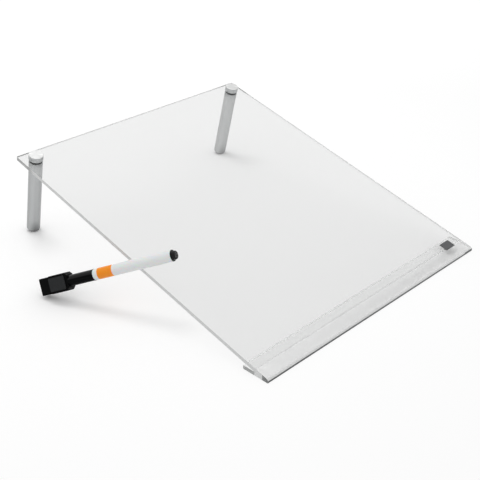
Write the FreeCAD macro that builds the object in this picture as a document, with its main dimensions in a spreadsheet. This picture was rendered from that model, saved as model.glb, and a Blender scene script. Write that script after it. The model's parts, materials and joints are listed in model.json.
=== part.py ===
# Clear sloping desk board on a bonded front lip and two screw-on rear legs, with a small board marker.
# Millimetres. +Z is up, -Y is the writer's side, and the origin is the centre of the lip's underside on the desk.
import FreeCAD
import Part
import Sketcher
import math
import os
import re

from FreeCAD import Placement, Rotation, Vector

# Driving sizes. Lengths are in millimetres and names that end in angle are in degrees.
SIZES = {
    # Writing panel: one flat clear sheet, cut off at the nose so that its front edge meets the desk
    "panel_width": 320,
    "panel_length": 380,
    "panel_thick": 4,
    "slope_angle": 14.2,
    "nose_land": 0.5,
    "nose_radius": 2.2,
    "corner_radius": 1.5,
    "edge_chamfer": 0.4,
    # Front lip: a flat strip bonded under the nose, bevelled to the panel's underside
    "lip_depth": 30,
    "lip_thick": 4,
    "lip_chamfer": 0.3,
    # Corner badge: a bare plate near the panel's front right corner
    "badge_width": 15,
    "badge_depth": 9.8,
    "badge_thick": 0.6,
    "badge_corner": 1.2,
    "badge_side_inset": 14.6,
    "badge_front_inset": 13.4,
    # Legs: aluminium tubes square to the panel, each clamped to it by a stud and a cap
    "leg_side_inset": 14.5,
    "leg_rear_inset": 14.5,
    "leg_diameter": 14.8,
    "leg_wall": 1.6,
    "leg_top_bevel": 0.5,
    "leg_end_radius": 1.2,
    "ring_diameter": 12.8,
    "ring_thick": 0.6,
    "washer_diameter": 14.2,
    "washer_thick": 0.4,
    "cap_diameter": 15.6,
    "cap_height": 6.3,
    "cap_bevel": 0.6,
    "stud_diameter": 6,
    "stud_grip": 4,
    "stud_reach": 10,
    "stud_bevel": 0.7,
    "insert_length": 16,
    "insert_recess": 0.4,
    "foot_diameter": 12.4,
    "foot_show": 1.2,
    "foot_round": 0.5,
    "foot_plug_length": 7,
    # Marker: where it leans, and its outside from the cap's end to the plug's end
    "lean_angle": 22.3,
    "bearing_angle": -59.4,
    "felt_angle": 66,
    "lean_reach": 174.6,
    "marker_length": 152.9,
    "marker_diameter": 11.2,
    # Marker cap: a round sleeve that ends in a flat block with the eraser on one face
    "block_length": 31.2,
    "block_width": 18,
    "block_depth": 11.8,
    "block_back": 6,
    "block_ramp": 2.6,
    "block_corner": 0.8,
    "block_round": 0.5,
    "heel_length": 12.4,
    "heel_width": 17.2,
    "heel_step": 1.9,
    "sleeve_end": 62.4,
    "sleeve_flare": 0.2,
    "sleeve_flare_length": 1.5,
    "sleeve_root": 33,
    "sleeve_bore": 9.2,
    "eraser_length": 17.4,
    "eraser_width": 13.4,
    "eraser_thick": 2.9,
    "eraser_sink": 1.4,
    "eraser_corner": 1,
    "eraser_bevel": 0.4,
    "magnet_length": 15,
    "magnet_width": 8,
    "magnet_thick": 1.6,
    "magnet_corner": 1,
    "liner_length": 14.5,
    "liner_wall": 0.8,
    "liner_floor": 1,
    # Marker pen: tube, nib and plug
    "neck_length": 10,
    "barrel_wall": 1.1,
    "holder_length": 8,
    "holder_diameter": 6.2,
    "holder_tip_diameter": 4.4,
    "holder_plug_length": 7,
    "nib_diameter": 2.6,
    "nib_show": 3.4,
    "nib_round": 1,
    "reservoir_room": 13,
    "reservoir_gap": 0.15,
    "flange_thick": 0.7,
    "boss_length": 3.4,
    "boss_diameter": 8.4,
    "boss_fillet": 0.8,
    "boss_round": 0.9,
    "plug_length": 8,
    # A corner's rounding in two facets: how far in the middle point lies, as a share of the rounding
    "round_share": 0.293,
    # Clearances
    "hole_clear": 0.4,
    "thread_fit": 0.08,
    "slip_fit": 0.08,
    "glue_gap": 0.05,
    "rest_gap": 0.2,
    "overrun": 5,
}

# Sizes that follow from the driving ones, as formulas in their names.
DERIVED = {
    # The panel's front face is upright: its height, and how far that takes the edge below the sloping face
    "nose_height": "(panel_thick - nose_land * sin(slope_angle)) / cos(slope_angle)",
    "nose_drop": "nose_height * cos(slope_angle)",
    # Along a leg, measured down from the panel's top face
    "tube_top": "panel_thick + ring_thick",
    "hole_diameter": "stud_diameter + 2 * hole_clear",
    "tube_bore": "leg_diameter - 2 * leg_wall",
    "hole_height": "nose_height + (panel_length - leg_rear_inset) * sin(slope_angle)",
    "foot_edge_drop": "(foot_diameter / 2 - foot_round) * sin(slope_angle)",
    "leg_length": "(hole_height - foot_edge_drop) / cos(slope_angle)",
    "tube_end": "leg_length - foot_show",
    # Along the marker, measured from the cap's end
    "neck_start": "sleeve_end - neck_length",
    "neck_diameter": "sleeve_bore - 2 * slip_fit",
    "holder_start": "neck_start - holder_length",
    "holder_end": "neck_start + holder_plug_length",
    "barrel_end": "marker_length - boss_length - flange_thick",
    "barrel_bore": "neck_diameter - 2 * barrel_wall",
    "reservoir_start": "holder_end + glue_gap",
    "reservoir_end": "barrel_end - plug_length - reservoir_room",
    "reservoir_radius": "barrel_bore / 2 - reservoir_gap",
    "liner_end": "sleeve_root + liner_length",
    "liner_diameter": "sleeve_bore - 2 * glue_gap",
    "liner_bore": "liner_diameter - 2 * liner_wall",
}

ACROSS = Vector(1, 0, 0)
UP = Vector(0, 0, 1)

doc = FreeCAD.newDocument("DeskBoard")
sheet = doc.addObject("Spreadsheet::Sheet", "Sizes")


def fill_sheet():
    """Writes every size and formula into its own cell, under its own name."""
    cells = [(name, str(size)) for name, size in SIZES.items()]
    cells += [(name, "=" + formula) for name, formula in DERIVED.items()]
    for row, (name, text) in enumerate(cells, start=1):
        sheet.set(f"A{row}", name)
        sheet.set(f"B{row}", text)
        sheet.setAlias(f"B{row}", name)
    doc.recompute()


def bound(formula):
    """The formula with each size's name written as its cell in the sheet."""
    names = SIZES | DERIVED
    return re.sub(r"[a-z_]+", lambda word: f"Sizes.{word[0]}" if word[0] in names else word[0], formula)


def amount(formula):
    """What the formula comes to with the sheet as it is."""
    return float(sheet.evalExpression(formula))


def new_body(label):
    """An empty body that takes the sub-part's name."""
    body = doc.addObject("PartDesign::Body", label)
    body.Label = label
    return body


def new_sketch(body, plane, height="0"):
    """A sketch on one of the body's own planes, or at a height above it."""
    sketch = body.newObject("Sketcher::SketchObject", "Sketch")
    origin_plane = next(item for item in body.Origin.OriginFeatures if item.Role == plane)
    sketch.AttachmentSupport = [(origin_plane, "")]
    sketch.MapMode = "FlatFace"
    if height != "0":
        sketch.setExpression("AttachmentOffset.Base.z", bound(height))
    return sketch


def place_point(sketch, geometry, point, across, along):
    """Ties a point of the sketch to two formulas measured from the sketch's origin."""
    for kind, axis, formula in (("DistanceX", -2, across), ("DistanceY", -1, along)):
        if formula == "0":
            sketch.addConstraint(Sketcher.Constraint("PointOnObject", geometry, point, axis))
        else:
            tie = Sketcher.Constraint(kind, -1, 1, geometry, point, amount(formula))
            index = sketch.addConstraint(tie)
            sketch.setExpression(f"Constraints[{index}]", bound(formula))


def add_outline(sketch, corners):
    """Draws a closed outline of straight sides through the corners, each a pair of formulas."""
    points = [Vector(amount(across), amount(along), 0) for across, along in corners]
    for here, there in zip(points, points[1:] + points[:1]):
        sketch.addGeometry(Part.LineSegment(here, there), False)
    for side in range(len(points)):
        following = (side + 1) % len(points)
        sketch.addConstraint(Sketcher.Constraint("Coincident", side, 2, following, 1))
    for side, (across, along) in enumerate(corners):
        place_point(sketch, side, 1, across, along)
    return sketch


def add_circle(sketch, across, along, radius):
    """Draws a circle whose centre and radius follow formulas."""
    centre = Vector(amount(across), amount(along), 0)
    circle = sketch.addGeometry(Part.Circle(centre, UP, amount(radius)), False)
    place_point(sketch, circle, 3, across, along)
    index = sketch.addConstraint(Sketcher.Constraint("Radius", circle, amount(radius)))
    sketch.setExpression(f"Constraints[{index}]", bound(radius))
    return sketch


def eased(across, along, size, across_turn, along_turn):
    """The three points that round a corner off, from the one along the first axis to the one along the second."""
    return [
        (f"{across} {across_turn} {size}", along),
        (f"{across} {across_turn} round_share * {size}", f"{along} {along_turn} round_share * {size}"),
        (across, f"{along} {along_turn} {size}"),
    ]


def box_corners(start, end, half_width):
    """The corners of a rectangle that runs from start to end, evenly about the other axis."""
    return [
        (start, f"-({half_width})"),
        (end, f"-({half_width})"),
        (end, half_width),
        (start, half_width),
    ]


def add_feature(body, kind, sketch, **bindings):
    """Adds a sketch-based feature whose properties follow formulas, and makes it the body's tip."""
    feature = body.newObject(f"PartDesign::{kind}", kind)
    feature.Profile = sketch
    for name, formula in bindings.items():
        feature.setExpression(name, bound(formula))
    body.Tip = feature
    return feature


def pad(body, sketch, length, symmetric=False):
    """Raises the sketch by a length, or by half of it to each side."""
    feature = add_feature(body, "Pad", sketch, Length=length)
    if symmetric:
        feature.SideType = "Symmetric"
    return body


def turn(body, sketch, axis="V_Axis"):
    """Turns the half outline once round the sketch's own axis."""
    feature = add_feature(body, "Revolution", sketch)
    feature.ReferenceAxis = (sketch, [axis])
    feature.Angle = 360
    return body


def pocket(body, sketch, depth, upwards=False):
    """Cuts the sketch's area down into the body, or upwards, and checks that it took something away."""
    doc.recompute()
    before = body.Shape.Volume
    feature = add_feature(body, "Pocket", sketch, Length=depth)
    feature.Reversed = upwards
    doc.recompute()
    if not body.Shape.Volume < before:
        raise ValueError(f"{body.Label}: {feature.Label} cuts nothing")
    return body


def groove(body, sketch, axis="V_Axis"):
    """Turns the half outline round the sketch's axis as a cut, and checks that it took something away."""
    doc.recompute()
    before = body.Shape.Volume
    feature = add_feature(body, "Groove", sketch)
    feature.ReferenceAxis = (sketch, [axis])
    feature.Angle = 360
    doc.recompute()
    if not body.Shape.Volume < before:
        raise ValueError(f"{body.Label}: {feature.Label} cuts nothing")
    return body


def dress(body, kind, size, chosen):
    """Rounds or bevels those edges of the body that the test picks out."""
    doc.recompute()
    base = body.Tip
    names = [f"Edge{number}" for number, edge in enumerate(base.Shape.Edges, start=1) if chosen(edge)]
    feature = body.newObject(f"PartDesign::{kind}", kind)
    feature.Base = (base, names)
    feature.setExpression("Radius" if kind == "Fillet" else "Size", bound(size))
    body.Tip = feature
    return body


def runs_along(edge, direction):
    """Whether the edge is a straight one along the direction."""
    if not isinstance(edge.Curve, Part.Line):
        return False
    return edge.Curve.Direction.cross(direction).Length < Part.Precision.confusion()


def lies_at(edge, axis, formula):
    """Whether the whole edge lies at one height along an axis."""
    box = edge.BoundBox
    low, high = {"x": (box.XMin, box.XMax), "y": (box.YMin, box.YMax), "z": (box.ZMin, box.ZMax)}[axis]
    return max(abs(low - amount(formula)), abs(high - amount(formula))) < amount("glue_gap")


def panel_place():
    """The panel's own axes: origin at the front edge's middle, X across, Y up the slope, Z off its face."""
    corner = Vector(0, -amount("lip_depth") / 2, amount("nose_height"))
    return Placement(corner, Rotation(ACROSS, amount("slope_angle")))


def leg_place(sign):
    """A leg's own axes: origin where its stud leaves the panel's top face, Z up along the stud."""
    across = sign * (amount("panel_width") / 2 - amount("leg_side_inset"))
    along = amount("panel_length - leg_rear_inset")
    return panel_place() * Placement(Vector(across, along, 0), Rotation())


def marker_place(cap_shape):
    """The marker's own axes: X from the cap's end to the plug, Z out of the eraser's face.

    The barrel leans on the panel's left edge, and the lowest corner of the cap's block stands on the desk.
    """
    lean = math.radians(amount("lean_angle"))
    bearing = math.radians(amount("bearing_angle"))
    felt = math.radians(amount("felt_angle"))
    level = Vector(math.cos(bearing), math.sin(bearing), 0)
    axis = level * math.cos(lean) + UP * math.sin(lean)
    upper = UP * math.cos(lean) - level * math.sin(lean)
    face = upper * math.cos(felt) + axis.cross(upper) * math.sin(felt)
    turned = Rotation(axis, face.cross(axis), face, "XZY")
    lowest = cap_shape.transformed(turned.toMatrix()).optimalBoundingBox(False, False).ZMin
    slope = panel_place()
    edge = slope.multVec(Vector(-amount("panel_width") / 2, amount("lean_reach"), 0))
    away = slope.Rotation.multVec(Vector(0, 1, 0)).cross(axis).normalize()
    if away.z < 0:
        away = -away
    crossing = edge + away * (amount("marker_diameter") / 2 + amount("rest_gap"))
    start = crossing - axis * ((crossing.z + lowest) / axis.z)
    return Placement(start, turned)


def writing_panel():
    """The sloping sheet, with a rounded nose, polished edges and a hole for each leg's stud."""
    body = new_body("writing_panel")
    side = new_sketch(body, "YZ_Plane")
    add_outline(
        side,
        [
            ("0", "0"),
            ("-nose_drop * tan(slope_angle)", "-nose_drop"),
            ("nose_land * cos(slope_angle) - nose_drop * tan(slope_angle)", "-panel_thick"),
            ("panel_length", "-panel_thick"),
            ("panel_length", "0"),
        ],
    )
    pad(body, side, "panel_width", symmetric=True)
    holes = new_sketch(body, "XY_Plane")
    for across in ("panel_width / 2 - leg_side_inset", "leg_side_inset - panel_width / 2"):
        add_circle(holes, across, "panel_length - leg_rear_inset", "hole_diameter / 2")
    pocket(body, holes, "panel_thick + overrun")
    dress(body, "Fillet", "corner_radius", lambda edge: runs_along(edge, UP) and lies_at(edge, "y", "panel_length"))
    dress(body, "Fillet", "nose_radius", lambda edge: lies_at(edge, "y", "0") and lies_at(edge, "z", "0"))
    dress(body, "Chamfer", "edge_chamfer", lambda edge: lies_at(edge, "z", "0") and lies_at(edge, "y", "panel_length"))
    dress(
        body,
        "Chamfer",
        "edge_chamfer",
        lambda edge: lies_at(edge, "z", "-panel_thick") and lies_at(edge, "y", "panel_length"),
    )
    body.Placement = panel_place()
    return body


def front_lip():
    """The strip under the nose, flat on the desk, whose bevel carries the panel's underside."""
    body = new_body("front_lip")
    side = new_sketch(body, "YZ_Plane")
    add_outline(
        side,
        [
            ("nose_land - lip_depth / 2", "0"),
            ("lip_depth / 2", "0"),
            ("lip_depth / 2", "lip_thick"),
            ("nose_land - lip_depth / 2 + lip_thick / tan(slope_angle)", "lip_thick"),
        ],
    )
    pad(body, side, "panel_width", symmetric=True)
    dress(
        body,
        "Chamfer",
        "lip_chamfer",
        lambda edge: lies_at(edge, "y", "lip_depth / 2") and lies_at(edge, "z", "lip_thick"),
    )
    return body


def corner_badge():
    """A thin bare plate stuck on the panel."""
    body = new_body("corner_badge")
    face = new_sketch(body, "XY_Plane")
    add_outline(face, box_corners("0", "badge_width", "badge_depth / 2"))
    pad(body, face, "badge_thick")
    dress(body, "Fillet", "badge_corner", lambda edge: runs_along(edge, UP))
    across = amount("panel_width / 2 - badge_side_inset - badge_width")
    along = amount("badge_front_inset + badge_depth / 2")
    body.Placement = panel_place() * Placement(Vector(across, along, 0), Rotation())
    return body


def leg_tube(side):
    """The aluminium tube, bevelled at the top and rounded at the foot."""
    body = new_body(f"{side}_leg_tube")
    half = new_sketch(body, "XZ_Plane")
    add_outline(
        half,
        [
            ("tube_bore / 2", "-tube_top"),
            ("leg_diameter / 2 - leg_top_bevel", "-tube_top"),
            ("leg_diameter / 2", "-tube_top - leg_top_bevel"),
            *eased("leg_diameter / 2", "-tube_end", "leg_end_radius", "-", "+")[::-1],
            ("tube_bore / 2", "-tube_end"),
        ],
    )
    turn(body, half)
    return body


def leg_insert(side):
    """The bush pressed into the tube's top, bored for the stud."""
    body = new_body(f"{side}_leg_insert")
    half = new_sketch(body, "XZ_Plane")
    top = "tube_top + insert_recess"
    add_outline(
        half,
        [
            ("stud_diameter / 2 + thread_fit", f"-({top})"),
            ("tube_bore / 2 - glue_gap", f"-({top})"),
            ("tube_bore / 2 - glue_gap", f"-({top} + insert_length)"),
            ("stud_diameter / 2 + thread_fit", f"-({top} + insert_length)"),
        ],
    )
    turn(body, half)
    return body


def foot(side):
    """The rubber foot: a round pad under the tube with a plug that goes up inside it."""
    body = new_body(f"{side}_foot")
    half = new_sketch(body, "XZ_Plane")
    add_outline(
        half,
        [
            ("0", "-leg_length"),
            *eased("foot_diameter / 2", "-leg_length", "foot_round", "-", "+"),
            ("foot_diameter / 2", "-tube_end"),
            ("tube_bore / 2 - glue_gap", "-tube_end"),
            ("tube_bore / 2 - glue_gap", "foot_plug_length - tube_end"),
            ("0", "foot_plug_length - tube_end"),
        ],
    )
    turn(body, half)
    return body


def flat_ring(label, outer, low, high):
    """A flat washer round the stud."""
    body = new_body(label)
    half = new_sketch(body, "XZ_Plane")
    add_outline(
        half,
        [
            ("hole_diameter / 2", low),
            (outer, low),
            (outer, high),
            ("hole_diameter / 2", high),
        ],
    )
    turn(body, half)
    return body


def cap(side):
    """The round cap nut, with a bevelled rim and a blind hole for the stud."""
    body = new_body(f"{side}_cap")
    half = new_sketch(body, "XZ_Plane")
    top = "washer_thick + cap_height"
    add_outline(
        half,
        [
            ("stud_diameter / 2 + glue_gap", "washer_thick"),
            ("cap_diameter / 2", "washer_thick"),
            ("cap_diameter / 2", f"{top} - cap_bevel"),
            ("cap_diameter / 2 - cap_bevel", top),
            ("0", top),
            ("0", "washer_thick + stud_grip + glue_gap"),
            ("stud_diameter / 2 + glue_gap", "washer_thick + stud_grip + glue_gap"),
        ],
    )
    turn(body, half)
    return body


def stud(side):
    """The threaded stud from the cap down through the panel into the tube's insert."""
    body = new_body(f"{side}_stud")
    half = new_sketch(body, "XZ_Plane")
    top = "washer_thick + stud_grip"
    low = "-tube_top - insert_recess - stud_reach"
    add_outline(
        half,
        [
            ("0", low),
            ("stud_diameter / 2 - stud_bevel", low),
            ("stud_diameter / 2", f"{low} + stud_bevel"),
            ("stud_diameter / 2", f"{top} - stud_bevel"),
            ("stud_diameter / 2 - stud_bevel", top),
            ("0", top),
        ],
    )
    turn(body, half)
    return body


def legs():
    """Both legs, each from the same pieces, set square to the panel at its rear corners."""
    pieces = []
    for side, sign in (("left", -1), ("right", 1)):
        leg = [
            leg_tube(side),
            leg_insert(side),
            foot(side),
            flat_ring(f"{side}_panel_washer", "ring_diameter / 2", "-tube_top", "-panel_thick"),
            flat_ring(f"{side}_cap_washer", "washer_diameter / 2", "0", "washer_thick"),
            cap(side),
            stud(side),
        ]
        for body in leg:
            body.Placement = leg_place(sign)
        pieces += leg
    return pieces


def marker_cap():
    """The sleeve over the nib and the flat block at its closed end, with seats for eraser and magnet."""
    body = new_body("marker_cap")
    block = new_sketch(body, "XY_Plane", "-block_back")
    half_heel = "heel_width / 2"
    half_block = "block_width / 2"
    half_neck = "(block_width / 2 - block_ramp)"
    add_outline(
        block,
        [
            ("0", f"-{half_heel}"),
            ("heel_length", f"-{half_heel}"),
            ("heel_length", f"-{half_block}"),
            ("block_length", f"-{half_block}"),
            ("block_length + block_ramp", f"-{half_neck}"),
            ("block_length + block_ramp", half_neck),
            ("block_length", half_block),
            ("heel_length", half_block),
            ("heel_length", half_heel),
            ("0", half_heel),
        ],
    )
    pad(body, block, "block_depth")
    dress(body, "Fillet", "block_corner", lambda edge: runs_along(edge, UP) and lies_at(edge, "x", "0"))
    dress(body, "Fillet", "block_round", lambda edge: lies_at(edge, "z", "block_depth - block_back"))
    dress(body, "Fillet", "block_round", lambda edge: lies_at(edge, "z", "-block_back"))
    sleeve = new_sketch(body, "XY_Plane")
    add_outline(
        sleeve,
        [
            ("block_length", "0"),
            ("sleeve_end", "0"),
            ("sleeve_end", "marker_diameter / 2 + sleeve_flare"),
            ("sleeve_end - sleeve_flare_length", "marker_diameter / 2"),
            ("block_length", "marker_diameter / 2"),
        ],
    )
    turn(body, sleeve, "H_Axis")
    step = new_sketch(body, "XY_Plane", "block_depth - block_back")
    add_outline(step, box_corners("-overrun", "heel_length", "block_width / 2 + overrun"))
    pocket(body, step, "heel_step")
    eraser_seat = new_sketch(body, "XY_Plane", "block_depth - block_back")
    add_outline(eraser_seat, eraser_outline("glue_gap"))
    pocket(body, eraser_seat, "eraser_sink")
    magnet_seat = new_sketch(body, "XY_Plane", "-block_back")
    add_outline(magnet_seat, magnet_outline("glue_gap"))
    pocket(body, magnet_seat, "magnet_thick + glue_gap", upwards=True)
    bore = new_sketch(body, "XY_Plane")
    add_outline(
        bore,
        [
            ("sleeve_root", "0"),
            ("sleeve_end + overrun", "0"),
            ("sleeve_end + overrun", "sleeve_bore / 2"),
            ("sleeve_root", "sleeve_bore / 2"),
        ],
    )
    groove(body, bore, "H_Axis")
    return body


def eraser_outline(gap):
    """The eraser pad's rectangle, let out by a gap all round, centred on the wide part of the block."""
    middle = "(heel_length + block_length) / 2"
    return box_corners(
        f"{middle} - eraser_length / 2 - {gap}",
        f"{middle} + eraser_length / 2 + {gap}",
        f"eraser_width / 2 + {gap}",
    )


def magnet_outline(gap):
    """The magnet's rectangle, let out by a gap all round, under the eraser."""
    middle = "(heel_length + block_length) / 2"
    return box_corners(
        f"{middle} - magnet_length / 2 - {gap}",
        f"{middle} + magnet_length / 2 + {gap}",
        f"magnet_width / 2 + {gap}",
    )


def cap_eraser_pad():
    """The felt pad that stands proud of the block."""
    body = new_body("cap_eraser_pad")
    face = new_sketch(body, "XY_Plane", "block_depth - block_back - eraser_sink")
    add_outline(face, eraser_outline("0"))
    pad(body, face, "eraser_thick")
    dress(body, "Fillet", "eraser_corner", lambda edge: runs_along(edge, UP))
    top = "block_depth - block_back - eraser_sink + eraser_thick"
    dress(body, "Chamfer", "eraser_bevel", lambda edge: lies_at(edge, "z", top))
    return body


def cap_magnet():
    """The flat magnet let into the block's back."""
    body = new_body("cap_magnet")
    face = new_sketch(body, "XY_Plane", "-block_back")
    add_outline(face, magnet_outline("0"))
    pad(body, face, "magnet_thick")
    dress(body, "Fillet", "magnet_corner", lambda edge: runs_along(edge, UP))
    return body


def cap_inner_liner():
    """The soft cup inside the cap that closes round the nib holder."""
    body = new_body("cap_inner_liner")
    half = new_sketch(body, "XY_Plane")
    add_outline(
        half,
        [
            ("sleeve_root + glue_gap", "0"),
            ("sleeve_root + glue_gap", "liner_diameter / 2"),
            ("liner_end", "liner_diameter / 2"),
            ("liner_end", "liner_bore / 2"),
            ("sleeve_root + liner_floor", "liner_bore / 2"),
            ("sleeve_root + liner_floor", "0"),
        ],
    )
    turn(body, half, "H_Axis")
    return body


def marker_barrel():
    """The white tube, with a narrower neck that the cap's sleeve slides over."""
    body = new_body("marker_barrel")
    half = new_sketch(body, "XY_Plane")
    add_outline(
        half,
        [
            ("neck_start", "barrel_bore / 2"),
            ("neck_start", "neck_diameter / 2"),
            ("sleeve_end + slip_fit", "neck_diameter / 2"),
            ("sleeve_end + slip_fit", "marker_diameter / 2"),
            ("barrel_end", "marker_diameter / 2"),
            ("barrel_end", "barrel_bore / 2"),
        ],
    )
    turn(body, half, "H_Axis")
    return body


def marker_end_plug():
    """The end plug: a thin flange on the tube's end, a round boss outside and a stem inside."""
    body = new_body("marker_end_plug")
    half = new_sketch(body, "XY_Plane")
    stem = "barrel_bore / 2 - glue_gap"
    add_outline(
        half,
        [
            ("barrel_end - plug_length", "0"),
            ("barrel_end - plug_length", stem),
            ("barrel_end", stem),
            ("barrel_end", "marker_diameter / 2"),
            ("barrel_end + flange_thick", "marker_diameter / 2"),
            *eased("barrel_end + flange_thick", "boss_diameter / 2", "boss_fillet", "+", "+")[::-1],
            *eased("marker_length", "boss_diameter / 2", "boss_round", "-", "-"),
            ("marker_length", "0"),
        ],
    )
    turn(body, half, "H_Axis")
    return body


def marker_nib_holder():
    """The tapered nose that grips the nib, plugged into the neck."""
    body = new_body("marker_nib_holder")
    half = new_sketch(body, "XY_Plane")
    bore = "nib_diameter / 2 + glue_gap"
    stem = "barrel_bore / 2 - glue_gap"
    add_outline(
        half,
        [
            ("holder_start", bore),
            ("holder_start", "holder_tip_diameter / 2"),
            ("(holder_start + neck_start) / 2", "holder_diameter / 2"),
            ("neck_start", "holder_diameter / 2"),
            ("neck_start", stem),
            ("holder_end", stem),
            ("holder_end", bore),
        ],
    )
    turn(body, half, "H_Axis")
    return body


def marker_nib():
    """The bullet nib, which runs back through its holder to the ink reservoir."""
    body = new_body("marker_nib")
    half = new_sketch(body, "XY_Plane")
    add_outline(
        half,
        [
            ("holder_start - nib_show", "0"),
            *eased("holder_start - nib_show", "nib_diameter / 2", "nib_round", "+", "-")[::-1],
            ("holder_end", "nib_diameter / 2"),
            ("holder_end", "0"),
        ],
    )
    turn(body, half, "H_Axis")
    return body


def marker_reservoir():
    """The ink-filled rod inside the barrel, from the nib holder back towards the plug."""
    body = new_body("marker_reservoir")
    half = new_sketch(body, "XY_Plane")
    add_outline(
        half,
        [
            ("reservoir_start", "0"),
            ("reservoir_start", "reservoir_radius"),
            ("reservoir_end", "reservoir_radius"),
            ("reservoir_end", "0"),
        ],
    )
    turn(body, half, "H_Axis")
    return body


def marker():
    """The whole marker, capped, leaning on the panel's left edge."""
    pieces = [
        marker_cap(),
        cap_eraser_pad(),
        cap_magnet(),
        cap_inner_liner(),
        marker_barrel(),
        marker_end_plug(),
        marker_nib_holder(),
        marker_nib(),
        marker_reservoir(),
    ]
    doc.recompute()
    place = marker_place(pieces[0].Shape)
    for body in pieces:
        body.Placement = place
    return pieces


def export(pieces):
    """Checks every object of the document, then writes each sub-part to its own file."""
    doc.recompute()
    for item in doc.Objects:
        if "Invalid" in item.State or "Error" in item.State:
            raise ValueError(f"{item.Label} did not recompute: {item.State}")
    for body in pieces:
        if body.Shape.isNull() or not body.Shape.isValid():
            raise ValueError(f"{body.Label} has no valid shape")
    os.makedirs("parts", exist_ok=True)
    for body in pieces:
        body.Shape.exportStep(f"parts/{body.Label}.step")
        print(f"{body.Label}: {body.Shape.Volume:.0f} mm3, {len(body.Shape.Solids)} solid")


fill_sheet()
export([writing_panel(), front_lip(), corner_badge()] + legs() + marker())
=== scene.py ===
import json
import math
from collections import namedtuple

import bmesh
import bpy
from mathutils import Matrix, Vector


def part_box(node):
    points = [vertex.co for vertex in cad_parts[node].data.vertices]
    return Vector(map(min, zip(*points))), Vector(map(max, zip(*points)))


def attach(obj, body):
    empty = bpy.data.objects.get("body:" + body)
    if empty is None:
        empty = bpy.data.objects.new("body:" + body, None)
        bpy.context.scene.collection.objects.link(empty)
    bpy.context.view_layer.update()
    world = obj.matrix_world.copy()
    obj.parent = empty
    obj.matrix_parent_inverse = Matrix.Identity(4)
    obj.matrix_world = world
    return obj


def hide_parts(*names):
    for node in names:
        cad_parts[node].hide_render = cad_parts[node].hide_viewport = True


bl_info = {
    "name": "Desk board maker",
    "version": (1, 0, 0),
    "blender": (4, 5, 0),
    "location": "3D View > Sidebar > Desk board",
    "description": "Makes a clear sloping desk board on two screw-on legs, with a capped board marker",
    "category": "Add Mesh",
}

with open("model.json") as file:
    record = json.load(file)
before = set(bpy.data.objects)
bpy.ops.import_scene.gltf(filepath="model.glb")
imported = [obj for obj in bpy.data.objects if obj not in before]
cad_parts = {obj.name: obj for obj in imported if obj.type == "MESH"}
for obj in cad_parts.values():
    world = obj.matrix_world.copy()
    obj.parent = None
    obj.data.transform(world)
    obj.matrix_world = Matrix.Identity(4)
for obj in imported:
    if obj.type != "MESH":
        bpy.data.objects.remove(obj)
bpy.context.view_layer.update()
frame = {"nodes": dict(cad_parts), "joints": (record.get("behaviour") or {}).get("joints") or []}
JOINTS = {joint["name"]: joint for joint in frame["joints"]}
SIDES = ("left", "right")
MM = 0.001

# How near points lie that count as one: in a new shape, where faces are parted, and after a boolean
SAME_PLACE, NEAR, WELD = 1e-7, 1e-6, 2e-6
# Edges that turn by more than this stay sharp
SHARP_TURN = math.radians(34)
# The play between a piece and the bore or seat that holds it
PLAY = 0.05 * MM
# Refraction of the acrylic, and less of it under the lip, so that what shows over the lip stays pale
ACRYLIC, RUBBED_UNDERSIDE, LIP_UNDERSIDE = 1.49, 1.44, 1.25
# How a finish's fine lines run along the turns and the metres of a turned piece's UV map
DRAWN = (520, 40, 1)
LATHED = (3, 9000, 1)


# Places and sizes read from the frame


def place_from(origin, along, face):
    """A place at an origin, whose X axis is along, and whose Z axis is as near to face as it can be."""
    x_axis = Vector(along).normalized()
    y_axis = Vector(face).cross(x_axis).normalized()
    z_axis = x_axis.cross(y_axis)
    place = Matrix((x_axis, y_axis, z_axis)).transposed().to_4x4()
    place.translation = origin
    return place


def points_of(node, place):
    """A node's points as they are seen from a place."""
    seen = place.inverted()
    return [seen @ vertex.co for vertex in frame["nodes"][node].data.vertices]


def extent(node, place):
    """The lowest and highest corner of a node in a place's own axes."""
    axes = list(zip(*points_of(node, place)))
    return Vector([min(axis) for axis in axes]), Vector([max(axis) for axis in axes])


Round = namedtuple("Round", "low high outer bore")


def round_size(node, place):
    """The ends of a round node along a place's Z axis, and its greatest and least radius."""
    points = points_of(node, place)
    heights = [point.z for point in points]
    radii = [math.hypot(point.x, point.y) for point in points]
    return Round(min(heights), max(heights), max(radii), min(radii))


def leg_place(side):
    """A leg's own axes: Z runs up along its stud, from where the stud leaves the board's face."""
    joint = JOINTS[f"{side}_cap_turn"]
    return place_from(joint["pos_m"], (1, 0, 0), Vector(joint["axis"]).normalized())


def board_place():
    """The board's own axes: from the front edge's middle, Y runs up the slope and Z is off the face."""
    leg = leg_place("right")
    normal = leg.col[2].to_3d()
    upslope = leg.col[1].to_3d()
    middle = Vector((0, leg.translation.y, leg.translation.z))
    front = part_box("writing_panel")[0].y
    return place_from(middle - upslope * ((middle.y - front) / upslope.y), (1, 0, 0), normal)


def marker_place():
    """The marker's own axes: X runs from the cap's end to the plug, and Z is off the eraser's face."""
    along = Vector(JOINTS["pen_pull"]["axis"]).normalized()
    rough = place_from((0, 0, 0), along, (0, 0, 1))
    low, high = extent("marker_barrel", rough)
    on_axis = rough @ Vector((0, (low.y + high.y) / 2, (low.z + high.z) / 2))
    low, high = extent("cap_eraser_pad", rough)
    pad_middle = rough @ ((low + high) / 2)
    place = place_from(on_axis, along, pad_middle - on_axis)
    place.translation = on_axis + along * extent("marker_cap", place)[0].x
    return place


BOARD = board_place()
LEGS = {side: leg_place(side) for side in SIDES}
MARKER = marker_place()
# The same place turned so that Z runs along the marker, for what is turned on the lathe
MARKER_AXIS = MARKER @ Matrix(((0, 0, 1, 0), (1, 0, 0, 0), (0, 1, 0, 0), (0, 0, 0, 1)))

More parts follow.
